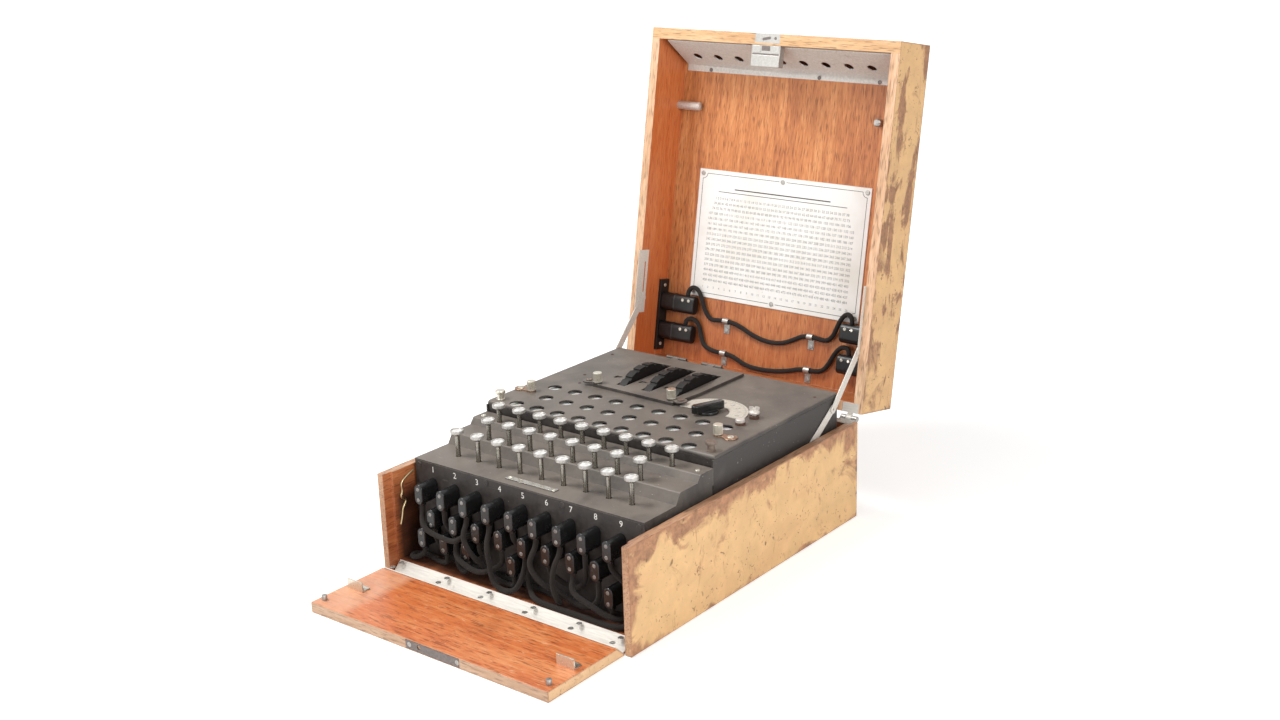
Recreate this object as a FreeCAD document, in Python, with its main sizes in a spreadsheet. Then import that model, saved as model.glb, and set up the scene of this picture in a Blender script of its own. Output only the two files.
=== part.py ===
import FreeCAD, Part
import math
import os
import Sketcher
from FreeCAD import Vector

# A rotor cipher machine in its wooden case, lid open and front flap laid down.
# Lengths are millimetres. While a piece is drawn, X runs to the right from the case's middle,
# Y runs back from the front faces of the side boards, and Z runs up from the ground.
# Each finished node is then seated in the row frame, whose origin is the middle of the underside.

doc = FreeCAD.newDocument("CipherMachine")
sheet = doc.addObject("Spreadsheet::Sheet", "Dims")

SIZES = {
    # Case boards
    "case_width": 279.0,
    "case_depth": 340.0,
    "wall_height": 93.6,
    "wall_thick": 8.5,
    "floor_thick": 10.4,
    "rabbet_step": 1.8,
    "joint_gap": 0.3,
    # Front flap and its mitred hinge
    "flap_thick": 9.5,
    "flap_side_gap": 0.4,
    "flap_open_angle": 90.0,
    "leaf_thick": 0.8,
    "leaf_reach": 13.6,
    "leaf_start": 1.5,
    "flap_pin_offset": 1.1,
    "flap_pin_radius": 0.45,
    "running_gap": 0.05,
    "knuckle_length": 23.7,
    "hinge_screw_radius": 2.6,
    "hinge_screw_pitch": 49.7,
    "hinge_screw_middle": 6.3,
    "hinge_screw_end": 124.0,
    # Flap fittings
    "strike_width": 59.0,
    "strike_middle": 10.5,
    "strike_thick": 1.0,
    "catch_width": 18.0,
    "catch_depth": 9.0,
    "catch_rise": 9.0,
    "catch_sheet": 1.2,
    "catch_height": 52.0,
    "catch_side": 118.0,
    "flap_peg_radius": 2.4,
    "flap_peg_rise": 4.5,
    "flap_peg_height": 84.0,
    "flap_peg_side": 125.5,
    # Lid boards
    "lid_open_angle": 100.5,
    "lid_height": 54.4,
    "lid_panel_thick": 7.7,
    "lid_side_thick": 9.2,
    "lid_front_thick": 10.8,
    "lid_hinge_back": 5.2,
    "lid_hinge_radius": 2.6,
    "lid_pin_radius": 1.2,
    "lid_leaf_thick": 0.8,
    "lid_leaf_width": 17.0,
    "lid_leaf_edge": 3.6,
    "lid_leaf_depth": 9.0,
    # Lid stays
    "stay_thick": 0.6,
    "stay_wall_gap": 1.0,
    "stay_width": 8.0,
    "stay_pin_radius": 2.0,
    "stay_base_back": 81.6,
    "stay_base_drop": 17.6,
    "stay_lid_s": 70.0,
    "stay_lid_d": 7.5,
    "stay_lower_length": 65.6,
    "stay_upper_length": 75.9,
    "slot_plate_low": 55.0,
    "slot_plate_high": 119.0,
    "slot_plate_drop": 4.0,
    "slot_plate_rise": 12.0,
    # Machine body
    "machine_gap": 0.4,
    "field_offset": -1.0,
    "body_sheet": 1.5,
    "panel_front": 35.4,
    "panel_thick": 3.0,
    "deck_low_top": 99.5,
    "deck_middle_top": 109.0,
    "deck_high_top": 115.0,
    "riser_one": 77.0,
    "riser_two": 106.5,
    "riser_one_run": 6.0,
    "riser_two_run": 4.5,
    "deck_back": 128.6,
    "deck_flange_bottom": 100.0,
    "deck_nose_radius": 2.0,
    # Bare nameplate on the deck
    "plate_length": 55.0,
    "plate_width": 6.0,
    "plate_front": 43.0,
    # Plugboard
    "socket_pitch": 26.35,
    "socket_row_top": 75.7,
    "socket_row_drop": 20.3,
    "pin_spacing": 10.0,
    "big_pin_radius": 2.0,
    "small_pin_radius": 1.5,
    "pin_gap": 0.05,
    "pin_reach": 16.0,
    "plug_width": 9.5,
    "plug_tall": 18.6,
    "plug_length": 20.0,
    "plug_exit_back": 4.8,
    "cord_radius": 2.3,
    "rivet_radius": 2.4,
    "rivet_rise": 0.8,
    # Keys
    "key_pitch": 24.39,
    "key_row_front": 59.9,
    "key_row_step": 27.2,
    "key_top_low": 123.9,
    "key_top_middle": 128.2,
    "key_top_high": 131.7,
    "key_cap_radius": 6.0,
    "key_rim": 0.7,
    "key_rim_height": 2.2,
    "key_glass_drop": 0.4,
    "key_cone_height": 3.4,
    "key_stem_radius": 2.1,
    "key_stem_bottom": 80.0,
    "key_travel": 4.0,
    "key_hole_gap": 0.4,
    "key_overtravel": 0.5,
    # Lamps
    "lamp_row_front": 138.1,
    "lamp_row_step": 26.55,
    "window_radius": 6.75,
    "bulb_radius": 5.2,
    "bulb_centre_z": 113.5,
    "bulb_cap_radius": 4.4,
    "lamp_board_top": 104.5,
    "lamp_board_thick": 3.0,
    "film_thick": 0.8,
    "film_drop": 3.3,
    "film_width": 17.0,
    "film_end": 10.0,
    # Main cover
    "cover_front": 130.0,
    "cover_back": 322.0,
    "cover_top": 125.5,
    "cover_skirt_bottom": 122.0,
    "cover_nose_radius": 3.2,
    "cover_side_radius": 1.6,
    "cover_hinge_back": 4.0,
    "cover_hinge_drop": 4.5,
    "cover_knuckle_radius": 2.4,
    "cover_pin_radius": 1.1,
    "cover_hinge_side": 80.0,
    # Rotor flap
    "rotor_flap_left": -72.0,
    "rotor_flap_right": 30.5,
    "rotor_flap_front": 210.0,
    "rotor_flap_back": 314.0,
    "rotor_flap_top": 128.5,
    "rotor_tab_width": 23.0,
    "rotor_tab_left": -63.0,
    "rotor_tab_right": -21.0,
    "rotor_pin_y": 318.0,
    "rotor_pin_z": 127.8,
    "rotor_knuckle_radius": 1.8,
    "rotor_pin_radius": 0.8,
    "cover_well_inset": 5.0,
    "view_window_width": 7.0,
    "view_window_depth": 6.0,
    "view_window_y": 241.0,
    "view_window_left_shift": 21.0,
    # Rotors
    "rotor_axis_y": 259.0,
    "rotor_axis_z": 84.5,
    "rotor_right_face": 17.0,
    "rotor_pitch": 29.4,
    "rotor_length": 28.0,
    "thumbwheel_radius": 54.2,
    "thumbwheel_width": 8.0,
    "thumb_notch_depth": 1.4,
    "thumb_notch_width": 4.0,
    "letter_ring_radius": 41.3,
    "letter_ring_width": 13.0,
    "rotor_core_radius": 39.0,
    "spindle_radius": 6.0,
    "slot_side_gap": 1.2,
    "slot_end_gap": 1.0,
    "end_wheel_radius": 38.5,
    "end_wheel_width": 11.0,
    "end_wheel_gap": 0.8,
    "cradle_plate_thick": 3.0,
    "cradle_plate_half": 22.0,
    "cradle_plate_top": 98.0,
    # Fittings on the cover
    "latch_radius": 4.25,
    "latch_height": 10.5,
    "latch_shank_radius": 1.9,
    "cover_latch_left_x": -110.0,
    "cover_latch_right_x": 103.0,
    "cover_latch_y": 171.0,
    "cover_tab_reach": 13.0,
    "rotor_latch_left_x": -67.5,
    "rotor_latch_right_x": 18.7,
    "rotor_latch_y": 216.5,
    "rotor_tab_reach": 10.5,
    "tab_radius": 6.0,
    "tab_thick": 1.2,
    "knob_y": 213.0,
    "knob_x": 62.0,
    "knob_half_length": 17.5,
    "knob_half_width": 4.2,
    "knob_base_radius": 9.5,
    "knob_base_height": 2.5,
    "knob_height": 9.5,
    "knob_shaft_radius": 3.0,
    "knob_turn_angle": 66.0,
    "dial_outer_radius": 36.0,
    "dial_inner_radius": 19.0,
    "dial_thick": 0.8,
    "mushroom_radius": 4.8,
    "mushroom_side": 119.0,
    "mushroom_y": 138.5,
    "mushroom_rise": 9.0,
    "post_x": 103.0,
    "post_y": 204.0,
    "post_radius": 4.5,
    "post_rise": 5.5,
    "terminal_y": 224.0,
    "terminal_rise": 11.0,
    # Under the covers
    "stack_side": 114.0,
    "stack_front": 48.0,
    "stack_back": 125.0,
    "stack_base_thick": 4.0,
    "stack_bar_half": 6.0,
    "contact_half": 3.0,
    "contact_rise": 8.0,
    "battery_left": 60.0,
    "battery_width": 62.0,
    "battery_front": 236.0,
    "battery_depth": 50.0,
    "battery_height": 66.0,
    # Lid fittings
    "notice_left": -99.5,
    "notice_right": 100.0,
    "notice_low": 76.0,
    "notice_high": 205.0,
    "notice_thick": 1.0,
    "notice_screw_radius": 2.2,
    "holder_low": 15.0,
    "holder_high": 88.0,
    "holder_thick": 3.0,
    "holder_floor": 33.5,
    "spare_plug_thick": 10.5,
    "spare_plug_tall": 18.6,
    "spare_plug_length": 41.0,
    "spare_upper_s": 66.0,
    "spare_lower_s": 36.0,
    "spare_plug_d": 39.8,
    "spare_cord_d": 43.8,
    "clip_side": 50.0,
    "clip_upper_s": 55.5,
    "clip_lower_s": 22.7,
    "clip_width": 6.5,
    "clip_sheet": 0.7,
    "clip_tail": 12.5,
    "rack_half": 126.0,
    "rack_flange_s": 301.0,
    "rack_top_s": 306.0,
    "rack_sheet": 1.0,
    "rack_low_d": 8.0,
    "rack_hole_radius": 4.6,
    "rack_hole_pitch": 24.9,
    "lock_left": -20.0,
    "lock_right": 12.0,
    "lock_low_s": 309.0,
    "lock_depth": 8.0,
    "lid_peg_radius": 4.2,
    "lid_peg_s": 266.0,
    "lid_peg_length": 26.0,
    "lid_peg_d": 42.0,
    "round_peg_x": 101.0,
    "round_peg_radius": 3.6,
    "round_peg_rise": 7.0,
}

for row, (alias, number) in enumerate(SIZES.items(), start=1):
    sheet.set(f"A{row}", alias)
    sheet.set(f"B{row}", str(number))
    sheet.setAlias(f"B{row}", alias)
doc.recompute()


class Size:
    """A length or an angle: its number now, and the sheet formula that gives it."""

    def __init__(self, value, text):
        self.value = value
        self.text = text

    def __add__(self, other):
        other = as_size(other)
        return Size(self.value + other.value, f"({self.text} + {other.text})")

    def __sub__(self, other):
        other = as_size(other)
        return Size(self.value - other.value, f"({self.text} - {other.text})")

    def __mul__(self, other):
        other = as_size(other)
        return Size(self.value * other.value, f"({self.text} * {other.text})")

    def __truediv__(self, other):
        other = as_size(other)
        return Size(self.value / other.value, f"({self.text} / {other.text})")

    def __neg__(self):
        return as_size(0) - self

    __radd__ = __add__

    def __rsub__(self, other):
        return as_size(other) - self

    __rmul__ = __mul__


def as_size(number):
    """A plain number as a Size, and a Size as it is."""
    if isinstance(number, Size):
        return number
    return Size(float(number), f"({float(number)!r})")


def sine(angle):
    return Size(math.sin(math.radians(angle.value)), f"sin({angle.text})")


def cosine(angle):
    return Size(math.cos(math.radians(angle.value)), f"cos({angle.text})")


def root(size):
    return Size(math.sqrt(size.value), f"sqrt({size.text})")


def arc_cosine(ratio):
    return Size(math.degrees(math.acos(ratio.value)), f"acos({ratio.text})")


def arc_tangent(rise, run):
    return Size(math.degrees(math.atan2(rise.value, run.value)), f"atan2({rise.text}; {run.text})")


class Dimensions:
    """Reads a driving dimension from the sheet by its alias."""

    def __getattr__(self, alias):
        return Size(float(sheet.get(alias)), f"Dims.{alias}")


D = Dimensions()


def bind(thing, prop, size):
    """Ties one property to the sheet."""
    thing.setExpression(prop, as_size(size).text)


def place(thing, x, y, z):
    """Ties a piece's place to the sheet."""
    for letter, size in zip("xyz", (x, y, z)):
        bind(thing, f".Placement.Base.{letter}", size)


def turn(thing, axis, angle):
    """Turns a piece about an axis by a bound angle."""
    thing.Placement = FreeCAD.Placement(Vector(0, 0, 0), FreeCAD.Rotation(axis, 0.1))
    bind(thing, ".Placement.Rotation.Angle", angle)


def box(name, x, y, z):
    """A block between three pairs of faces."""
    block = doc.addObject("Part::Box", name)
    for prop, (low, high) in zip(("Length", "Width", "Height"), (x, y, z)):
        bind(block, prop, as_size(high) - low)
    place(block, x[0], y[0], z[0])
    return block


X_AXIS = Vector(1, 0, 0)
Y_AXIS = Vector(0, 1, 0)
Z_AXIS = Vector(0, 0, 1)
ALONG = {
    "x": FreeCAD.Rotation(Y_AXIS, 90),
    "y": FreeCAD.Rotation(X_AXIS, -90),
    "z": FreeCAD.Rotation(Z_AXIS, 0),
}


def rod(name, direction, radius, span, at):
    """A cylinder along an axis: span gives its two ends, at the other two coordinates."""
    cylinder = doc.addObject("Part::Cylinder", name)
    bind(cylinder, "Radius", radius)
    bind(cylinder, "Height", as_size(span[1]) - span[0])
    cylinder.Placement = FreeCAD.Placement(Vector(0, 0, 0), ALONG[direction])
    corner = {"x": (span[0], *at), "y": (at[0], span[0], at[1]), "z": (*at, span[0])}[direction]
    place(cylinder, *corner)
    return cylinder


def fuse(name, *pieces):
    """Several shapes welded into one solid."""
    union = doc.addObject("Part::MultiFuse", name)
    union.Shapes = list(pieces)
    union.Refine = True
    return union


def cut(name, base, *tools):
    """A shape with others taken out of it."""
    result = doc.addObject("Part::Cut", name)
    result.Base = base
    result.Tool = tools[0] if len(tools) == 1 else group(f"{name}_tools", *tools)
    return result


def group(name, *pieces):
    """Separate solids kept together."""
    bundle = doc.addObject("Part::Compound", name)
    bundle.Links = list(pieces)
    return bundle


def outline(body, role, corners):
    """A closed sketch of straight lines on an origin plane, each corner tied to the sheet."""
    sketch = body.newObject("Sketcher::SketchObject", f"{body.Name}_sketch")
    plane = next(feature for feature in body.Origin.OriginFeatures if feature.Role == role)
    sketch.AttachmentSupport = [(plane, "")]
    sketch.MapMode = "FlatFace"
    corners = [(as_size(first), as_size(second)) for first, second in corners]
    points = [Vector(first.value, second.value, 0) for first, second in corners]
    for start, end in zip(points, points[1:] + points[:1]):
        sketch.addGeometry(Part.LineSegment(start, end), False)
    count = len(corners)
    for index in range(count):
        sketch.addConstraint(Sketcher.Constraint("Coincident", index, 2, (index + 1) % count, 1))
    for index, corner in enumerate(corners):
        for kind, size in zip(("DistanceX", "DistanceY"), corner):
            constraint = Sketcher.Constraint(kind, -1, 1, index, 1, size.value)
            number = sketch.addConstraint(constraint)
            sketch.setExpression(f"Constraints[{number}]", size.text)
    return sketch


def padded(name, role, corners, length):
    """A body padded from an outline."""
    body = doc.addObject("PartDesign::Body", name)
    sketch = outline(body, role, corners)
    pad = body.newObject("PartDesign::Pad", f"{name}_pad")
    pad.Profile = sketch
    bind(pad, "Length", length)
    return body


def turned(name, role, axis, corners):
    """A body turned from an outline about one of the sketch's axes."""
    body = doc.addObject("PartDesign::Body", name)
    sketch = outline(body, role, corners)
    revolution = body.newObject("PartDesign::Revolution", f"{name}_turned")
    revolution.Profile = sketch
    revolution.ReferenceAxis = (sketch, [axis])
    revolution.Angle = 360
    return body


def edges_where(shape, test):
    """Names of the straight edges whose middle and direction pass a test."""
    names = []
    for number, edge in enumerate(shape.Edges, start=1):
        if not isinstance(edge.Curve, (Part.Line, Part.LineSegment)):
            continue
        direction = edge.tangentAt(edge.FirstParameter)
        if test(edge.CenterOfMass, direction):
            names.append(f"Edge{number}")
    return names


def rounded(body, radius, test):
    """Rounds the edges of a body that pass a test."""
    doc.recompute()
    base = body.Tip
    fillet = body.newObject("PartDesign::Fillet", f"{base.Name}_round")
    fillet.Base = (base, edges_where(base.Shape, test))
    bind(fillet, "Radius", radius)
    return fillet


NODES = []
FRONT = -D.case_depth / 2
LID_HINGE_Y = D.case_depth + D.lid_hinge_back
LID_HINGE_Z = D.wall_height + D.joint_gap / 2


def node(label, *pieces):
    """One named node, seated in the row frame."""
    bundle = group(f"{label}_node", *pieces)
    bundle.Label = label
    place(bundle, 0, FRONT, 0)
    NODES.append(bundle)
    return bundle


def lid_node(label, *pieces):
    """A node drawn closed, from the lid's hinge axis, and swung open with the lid."""
    bundle = node(label, *pieces)
    turn(bundle, -X_AXIS, D.lid_open_angle)
    place(bundle, 0, LID_HINGE_Y + FRONT, LID_HINGE_Z)
    return bundle


def flap_node(label, *pieces):
    """A node drawn upright, from the flap's hinge pin, and laid down with the flap."""
    bundle = node(label, *pieces)
    turn(bundle, X_AXIS, D.flap_open_angle)
    place(bundle, 0, D.flap_pin_offset + FRONT, D.flap_pin_offset)
    return bundle


# Shared places

WALL_INNER = D.case_width / 2 - D.wall_thick
STAY_OUTER = WALL_INNER - D.stay_wall_gap
STAY_MIDDLE = STAY_OUTER - D.stay_thick
STAY_INNER = STAY_MIDDLE - D.joint_gap - D.stay_thick
STAY_BASE_Y = D.case_depth - D.stay_base_back
STAY_BASE_Z = D.wall_height - D.stay_base_drop
MACHINE_HALF = STAY_INNER - D.machine_gap
MITRE = D.leaf_thick + D.joint_gap / 2
ROOT_TWO = root(as_size(2))
BEVEL = MITRE * ROOT_TWO
DIAGONAL = ROOT_TWO / 2


def key_places():
    """Number, X, Y and row of each of the 26 keys."""
    number = 0
    for row_index, count in enumerate((9, 8, 9)):
        for column in range(count):
            number += 1
            x = D.field_offset + D.key_pitch * (column - (count - 1) / 2)
            yield number, x, row_index


def socket_places():
    """X, Z, row and column of each of the 26 plug sockets."""
    for row_index, count in enumerate((9, 8, 9)):
        for column in range(count):
            x = D.field_offset + D.socket_pitch * (column - (count - 1) / 2)
            z = D.socket_row_top - D.socket_row_drop * row_index
            yield x, z, row_index, column


OPEN_SOCKETS = [(2, 3), (2, 5), (2, 6), (2, 7)]


# Case boards

def case_floor():
    """The bottom board, its front edge bevelled for the flap's mitre."""
    profile = [
        (BEVEL, 0),
        (D.case_depth - D.wall_thick, 0),
        (D.case_depth - D.wall_thick, D.floor_thick),
        (BEVEL + D.floor_thick, D.floor_thick),
    ]
    board = padded("floor_board", "YZ_Plane", profile, WALL_INNER * 2)
    place(board, -WALL_INNER, 0, 0)
    node("case_floor", board)


def case_side(label, side):
    """A side board with a shallow rabbet where the flap's end closes."""
    rabbet_back = D.flap_thick + D.joint_gap
    plan = [
        (0, rabbet_back),
        (D.rabbet_step, rabbet_back),
        (D.rabbet_step, 0),
        (D.wall_thick, 0),
        (D.wall_thick, D.case_depth),
        (0, D.case_depth),
    ]
    if side < 0:
        plan = [(D.wall_thick - x, y) for x, y in plan]
    board = padded(f"{label}_board", "XY_Plane", plan, D.wall_height)
    place(board, WALL_INNER if side > 0 else -WALL_INNER - D.wall_thick, 0, 0)
    recess = lid_leaf_block(f"{label}_recess", side)
    node(label, cut(f"{label}_cut", board, recess))


def lid_leaf_block(name, side):
    """The space that a base leaf of the lid's hinge takes in the rim of the case."""
    outer = D.case_width / 2 - D.lid_leaf_edge
    inner = outer - D.lid_leaf_width
    x = (inner, outer) if side > 0 else (-outer, -inner)
    y = (D.case_depth - D.lid_leaf_depth, D.case_depth)
    z = (D.wall_height - D.lid_leaf_thick, D.wall_height + D.joint_gap)
    return box(name, x, y, z)


def case_rear_wall():
    """The back board, recessed for the hinge leaves."""
    board = box("rear_board", (-WALL_INNER, WALL_INNER), (D.case_depth - D.wall_thick, D.case_depth),
                (0, D.wall_height))
    recesses = [lid_leaf_block(f"rear_recess_{side}", sign)
                for side, sign in (("left", -1), ("right", 1))]
    node("case_rear_wall", cut("rear_board_cut", board, *recesses))


def mitre_leaf(name, x, along, normal):
    """A strip lying in the mitre: along and normal are measured from the flap's pin."""
    strip = doc.addObject("Part::Box", name)
    bind(strip, "Length", x[1] - x[0])
    bind(strip, "Width", along[1] - along[0])
    bind(strip, "Height", normal[1] - normal[0])
    strip.Placement = FreeCAD.Placement(Vector(0, 0, 0), FreeCAD.Rotation(X_AXIS, 45))
    y = (along[0] - normal[0]) * DIAGONAL
    z = (along[0] + normal[0]) * DIAGONAL
    place(strip, x[0], y, z)
    return strip


def knuckle_spans(offset):
    """Every second stretch of the flap's hinge, starting at the first or the second."""
    middle = D.knuckle_length
    for step in range(-5 + offset, 6, 2):
        low = middle * (step - 0.5) + D.joint_gap / 2
        yield step + 5, low, low + middle - D.joint_gap


def hinge_leaf(name, offset, side):
    """One leaf of the flap's hinge with its own knuckles round the pin, drawn from the pin."""
    normal = (D.joint_gap / 2, MITRE) if side > 0 else (-MITRE, -D.joint_gap / 2)
    half = D.knuckle_length * 5.5
    strip = mitre_leaf(f"{name}_strip", (-half, half), (D.leaf_start, D.leaf_reach), normal)
    solids = [strip]
    for number, low, high in knuckle_spans(offset):
        web = mitre_leaf(f"{name}_web_{number}", (low, high), (as_size(0), D.leaf_start), normal)
        barrel = rod(f"{name}_barrel_{number}", "x", MITRE - D.running_gap, (low, high), (0, 0))
        solids += [web, barrel]
    tools = [rod(f"{name}_bore", "x", D.flap_pin_radius + D.running_gap, (-half - 1, half + 1), (0, 0))]
    along = (D.leaf_start + D.leaf_reach) / 2
    for number, x in enumerate(hinge_screw_places()):
        tools.append(mitre_screw(f"{name}_hole_{number}", x, along, normal))
    return cut(name, fuse(f"{name}_welded", *solids), *tools)


def hinge_screw_places():
    """X of the six screws of a leaf of the flap's hinge."""
    inner = [D.hinge_screw_middle + D.hinge_screw_pitch * (step - 1.5) for step in range(4)]
    return [-D.hinge_screw_end, *inner, D.hinge_screw_end]


def mitre_screw(name, x, along, normal):
    """A flush round head in the mitre, or the hole for it."""
    head = doc.addObject("Part::Cylinder", name)
    bind(head, "Radius", D.hinge_screw_radius)
    bind(head, "Height", normal[1] - normal[0])
    head.Placement = FreeCAD.Placement(Vector(0, 0, 0), FreeCAD.Rotation(X_AXIS, 45))
    place(head, x, (along - normal[0]) * DIAGONAL, (along + normal[0]) * DIAGONAL)
    return head


def hinge_screws(name, side):
    """The six screws of one leaf, drawn from the pin."""
    normal = (D.joint_gap / 2, MITRE) if side > 0 else (-MITRE, -D.joint_gap / 2)
    along = (D.leaf_start + D.leaf_reach) / 2
    return group(name, *[mitre_screw(f"{name}_{number}", x, along, normal)
                         for number, x in enumerate(hinge_screw_places())])


def floor_hinge():
    """The floor's leaf, seated at the pin, with its row of screws."""
    leaf = hinge_leaf("floor_leaf", 0, -1)
    place(leaf, 0, D.flap_pin_offset, D.flap_pin_offset)
    half = D.knuckle_length * 5.5
    screws = hinge_screws("floor_screws", -1)
    place(screws, 0, D.flap_pin_offset, D.flap_pin_offset)
    pin = rod("flap_pin", "x", D.flap_pin_radius, (-half, half), (D.flap_pin_offset, D.flap_pin_offset))
    return [leaf, screws, pin]


def lid_hinge_base(side_name, side):
    """The base leaf of one lid hinge, its two knuckles and the pin."""
    outer = D.case_width / 2 - D.lid_leaf_edge
    inner = outer - D.lid_leaf_width
    x = (inner, outer) if side > 0 else (-outer, -inner)
    third = D.lid_leaf_width / 3
    leaf = box(f"base_leaf_{side_name}", x, (D.case_depth - D.lid_leaf_depth, LID_HINGE_Y),
               (D.wall_height - D.lid_leaf_thick, D.wall_height))
    pieces = [leaf]
    gap_x = (x[0] + third - D.joint_gap / 2, x[1] - third + D.joint_gap / 2)
    for number, span in enumerate(((x[0], gap_x[0]), (gap_x[1], x[1]))):
        pieces.append(rod(f"base_knuckle_{side_name}_{number}", "x", D.lid_hinge_radius, span,
                          (LID_HINGE_Y, LID_HINGE_Z)))
    room = rod(f"base_room_{side_name}", "x", D.lid_hinge_radius + D.joint_gap, gap_x,
               (LID_HINGE_Y, LID_HINGE_Z))
    bore = rod(f"base_bore_{side_name}", "x", D.lid_pin_radius, (x[0] - 1, x[1] + 1),
               (LID_HINGE_Y, LID_HINGE_Z))
    welded = cut(f"base_hinge_{side_name}", fuse(f"base_welded_{side_name}", *pieces), room, bore)
    pin = rod(f"lid_pin_{side_name}", "x", D.lid_pin_radius, x, (LID_HINGE_Y, LID_HINGE_Z))
    return [welded, pin]


def stay_stud(side_name, side):
    """The stud on a side board that carries a stay's lower link."""
    span = (STAY_INNER, WALL_INNER) if side > 0 else (-WALL_INNER, -STAY_INNER)
    return rod(f"base_stud_{side_name}", "x", D.stay_pin_radius, span, (STAY_BASE_Y, STAY_BASE_Z))


def tube(name, points, radius):
    """A round tube along straight runs joined by tangent arcs, each as large as its runs allow."""
    corners = [Vector(*point) for point in points]
    edges = []
    here = corners[0]
    tightest = None
    for before, corner, after in zip(corners, corners[1:], corners[2:]):
        run_in = corner - before
        run_out = after - corner
        angle = run_in.getAngle(run_out)
        reach = 0.45 * min(run_in.Length, run_out.Length)
        arc_radius = reach / math.tan(angle / 2)
        run_in.normalize()
        run_out.normalize()
        first = corner - run_in * reach
        last = corner + run_out * reach
        inward = run_out - run_in
        inward.normalize()
        middle = corner + inward * (arc_radius / math.cos(angle / 2) - arc_radius)
        edges.append(Part.LineSegment(here, first).toShape())
        edges.append(Part.Arc(first, middle, last).toShape())
        here = last
        tightest = arc_radius if tightest is None else min(tightest, arc_radius)
    edges.append(Part.LineSegment(here, corners[-1]).toShape())
    path = Part.Wire(edges)
    direction = corners[1] - corners[0]
    ring = Part.Wire([Part.Circle(corners[0], direction, radius).toShape()])
    solid = path.makePipeShell([ring], True, False)
    expected = math.pi * radius ** 2 * path.Length
    print(f"{name}: length {path.Length:.1f}, tightest radius {tightest:.1f}, "
          f"volume {solid.Volume / expected:.4f} of section times length")
    piece = doc.addObject("Part::Feature", name)
    piece.Shape = solid
    return piece


def wall_hook():
    """The bent wire on the left side board, held off the wood by its own staple."""
    wire_radius = 1.1
    x = -(WALL_INNER.value - wire_radius)
    route = [(34, 88), (25, 85), (18, 81), (19.5, 73), (16.5, 68), (24, 63.5), (18.5, 58), (17, 50),
             (14.5, 43)]
    return tube("wall_hook", [(x, y, z) for y, z in route], wire_radius)


def case_hardware():
    """Everything of metal that is fixed to the case."""
    pieces = floor_hinge()
    for side_name, side in (("left", -1), ("right", 1)):
        pieces += lid_hinge_base(side_name, side)
        pieces.append(stay_stud(side_name, side))
    pieces.append(wall_hook())
    node("case_hardware", *pieces)


# Machine front: deck, plugboard, plugs and cords

def deck_profile(shift_back, shift_down):
    """The stepped line of the deck, from its front edge to the foot of the cover."""
    return [
        (D.panel_front, D.deck_low_top - shift_down),
        (D.riser_one + shift_back, D.deck_low_top - shift_down),
        (D.riser_one + D.riser_one_run + shift_back, D.deck_middle_top - shift_down),
        (D.riser_two + shift_back, D.deck_middle_top - shift_down),
        (D.riser_two + D.riser_two_run + shift_back, D.deck_high_top - shift_down),
        (D.deck_back - shift_down, D.deck_high_top - shift_down),
    ]


def key_deck():
    """The stepped black sheet over the keys, its side cheeks and the bare plate on it."""
    none = as_size(0)
    lead = D.body_sheet * 2 / 3
    top_line = deck_profile(none, none)
    under_line = deck_profile(lead, D.body_sheet)
    flange = [(D.deck_back, D.deck_flange_bottom), (D.deck_back - D.body_sheet, D.deck_flange_bottom)]
    sheet_body = padded("deck_sheet", "YZ_Plane", top_line + flange + under_line[::-1], MACHINE_HALF * 2)
    nose_heights = (D.deck_middle_top.value, D.deck_high_top.value)
    nose_places = (D.riser_one + D.riser_one_run, D.riser_two + D.riser_two_run)

    def is_nose(middle, direction):
        for place_y, height in zip(nose_places, nose_heights):
            if abs(middle.y - place_y.value) < 0.01 and abs(middle.z - height) < 0.01:
                return True
        return False

    rounded(sheet_body, D.deck_nose_radius, is_nose)
    place(sheet_body, -MACHINE_HALF, 0, 0)
    holes = []
    for number, x, row_index in key_places():
        y = D.key_row_front + D.key_row_step * row_index
        holes.append(rod(f"deck_hole_{number:02d}", "z", D.key_stem_radius + D.key_hole_gap,
                         (D.key_stem_bottom, D.cover_top), (x, y)))
    pieces = [cut("deck_pierced", sheet_body, *holes)]
    foot = [(D.deck_back - D.body_sheet, D.floor_thick), (D.panel_front + D.panel_thick, D.floor_thick)]
    rise = [(D.panel_front + D.panel_thick, D.deck_low_top - D.body_sheet)]
    cheek_line = foot + rise + under_line[1:]
    for side_name, x in (("left", -MACHINE_HALF), ("right", MACHINE_HALF - D.body_sheet)):
        cheek = padded(f"deck_cheek_{side_name}", "YZ_Plane", cheek_line, D.body_sheet)
        place(cheek, x, 0, 0)
        pieces.append(cheek)
    half = D.plate_length / 2
    pieces.append(box("deck_plate", (-half, half), (D.plate_front, D.plate_front + D.plate_width),
                      (D.deck_low_top, D.deck_low_top + D.body_sheet / 2)))
    node("key_deck", *pieces)


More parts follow.
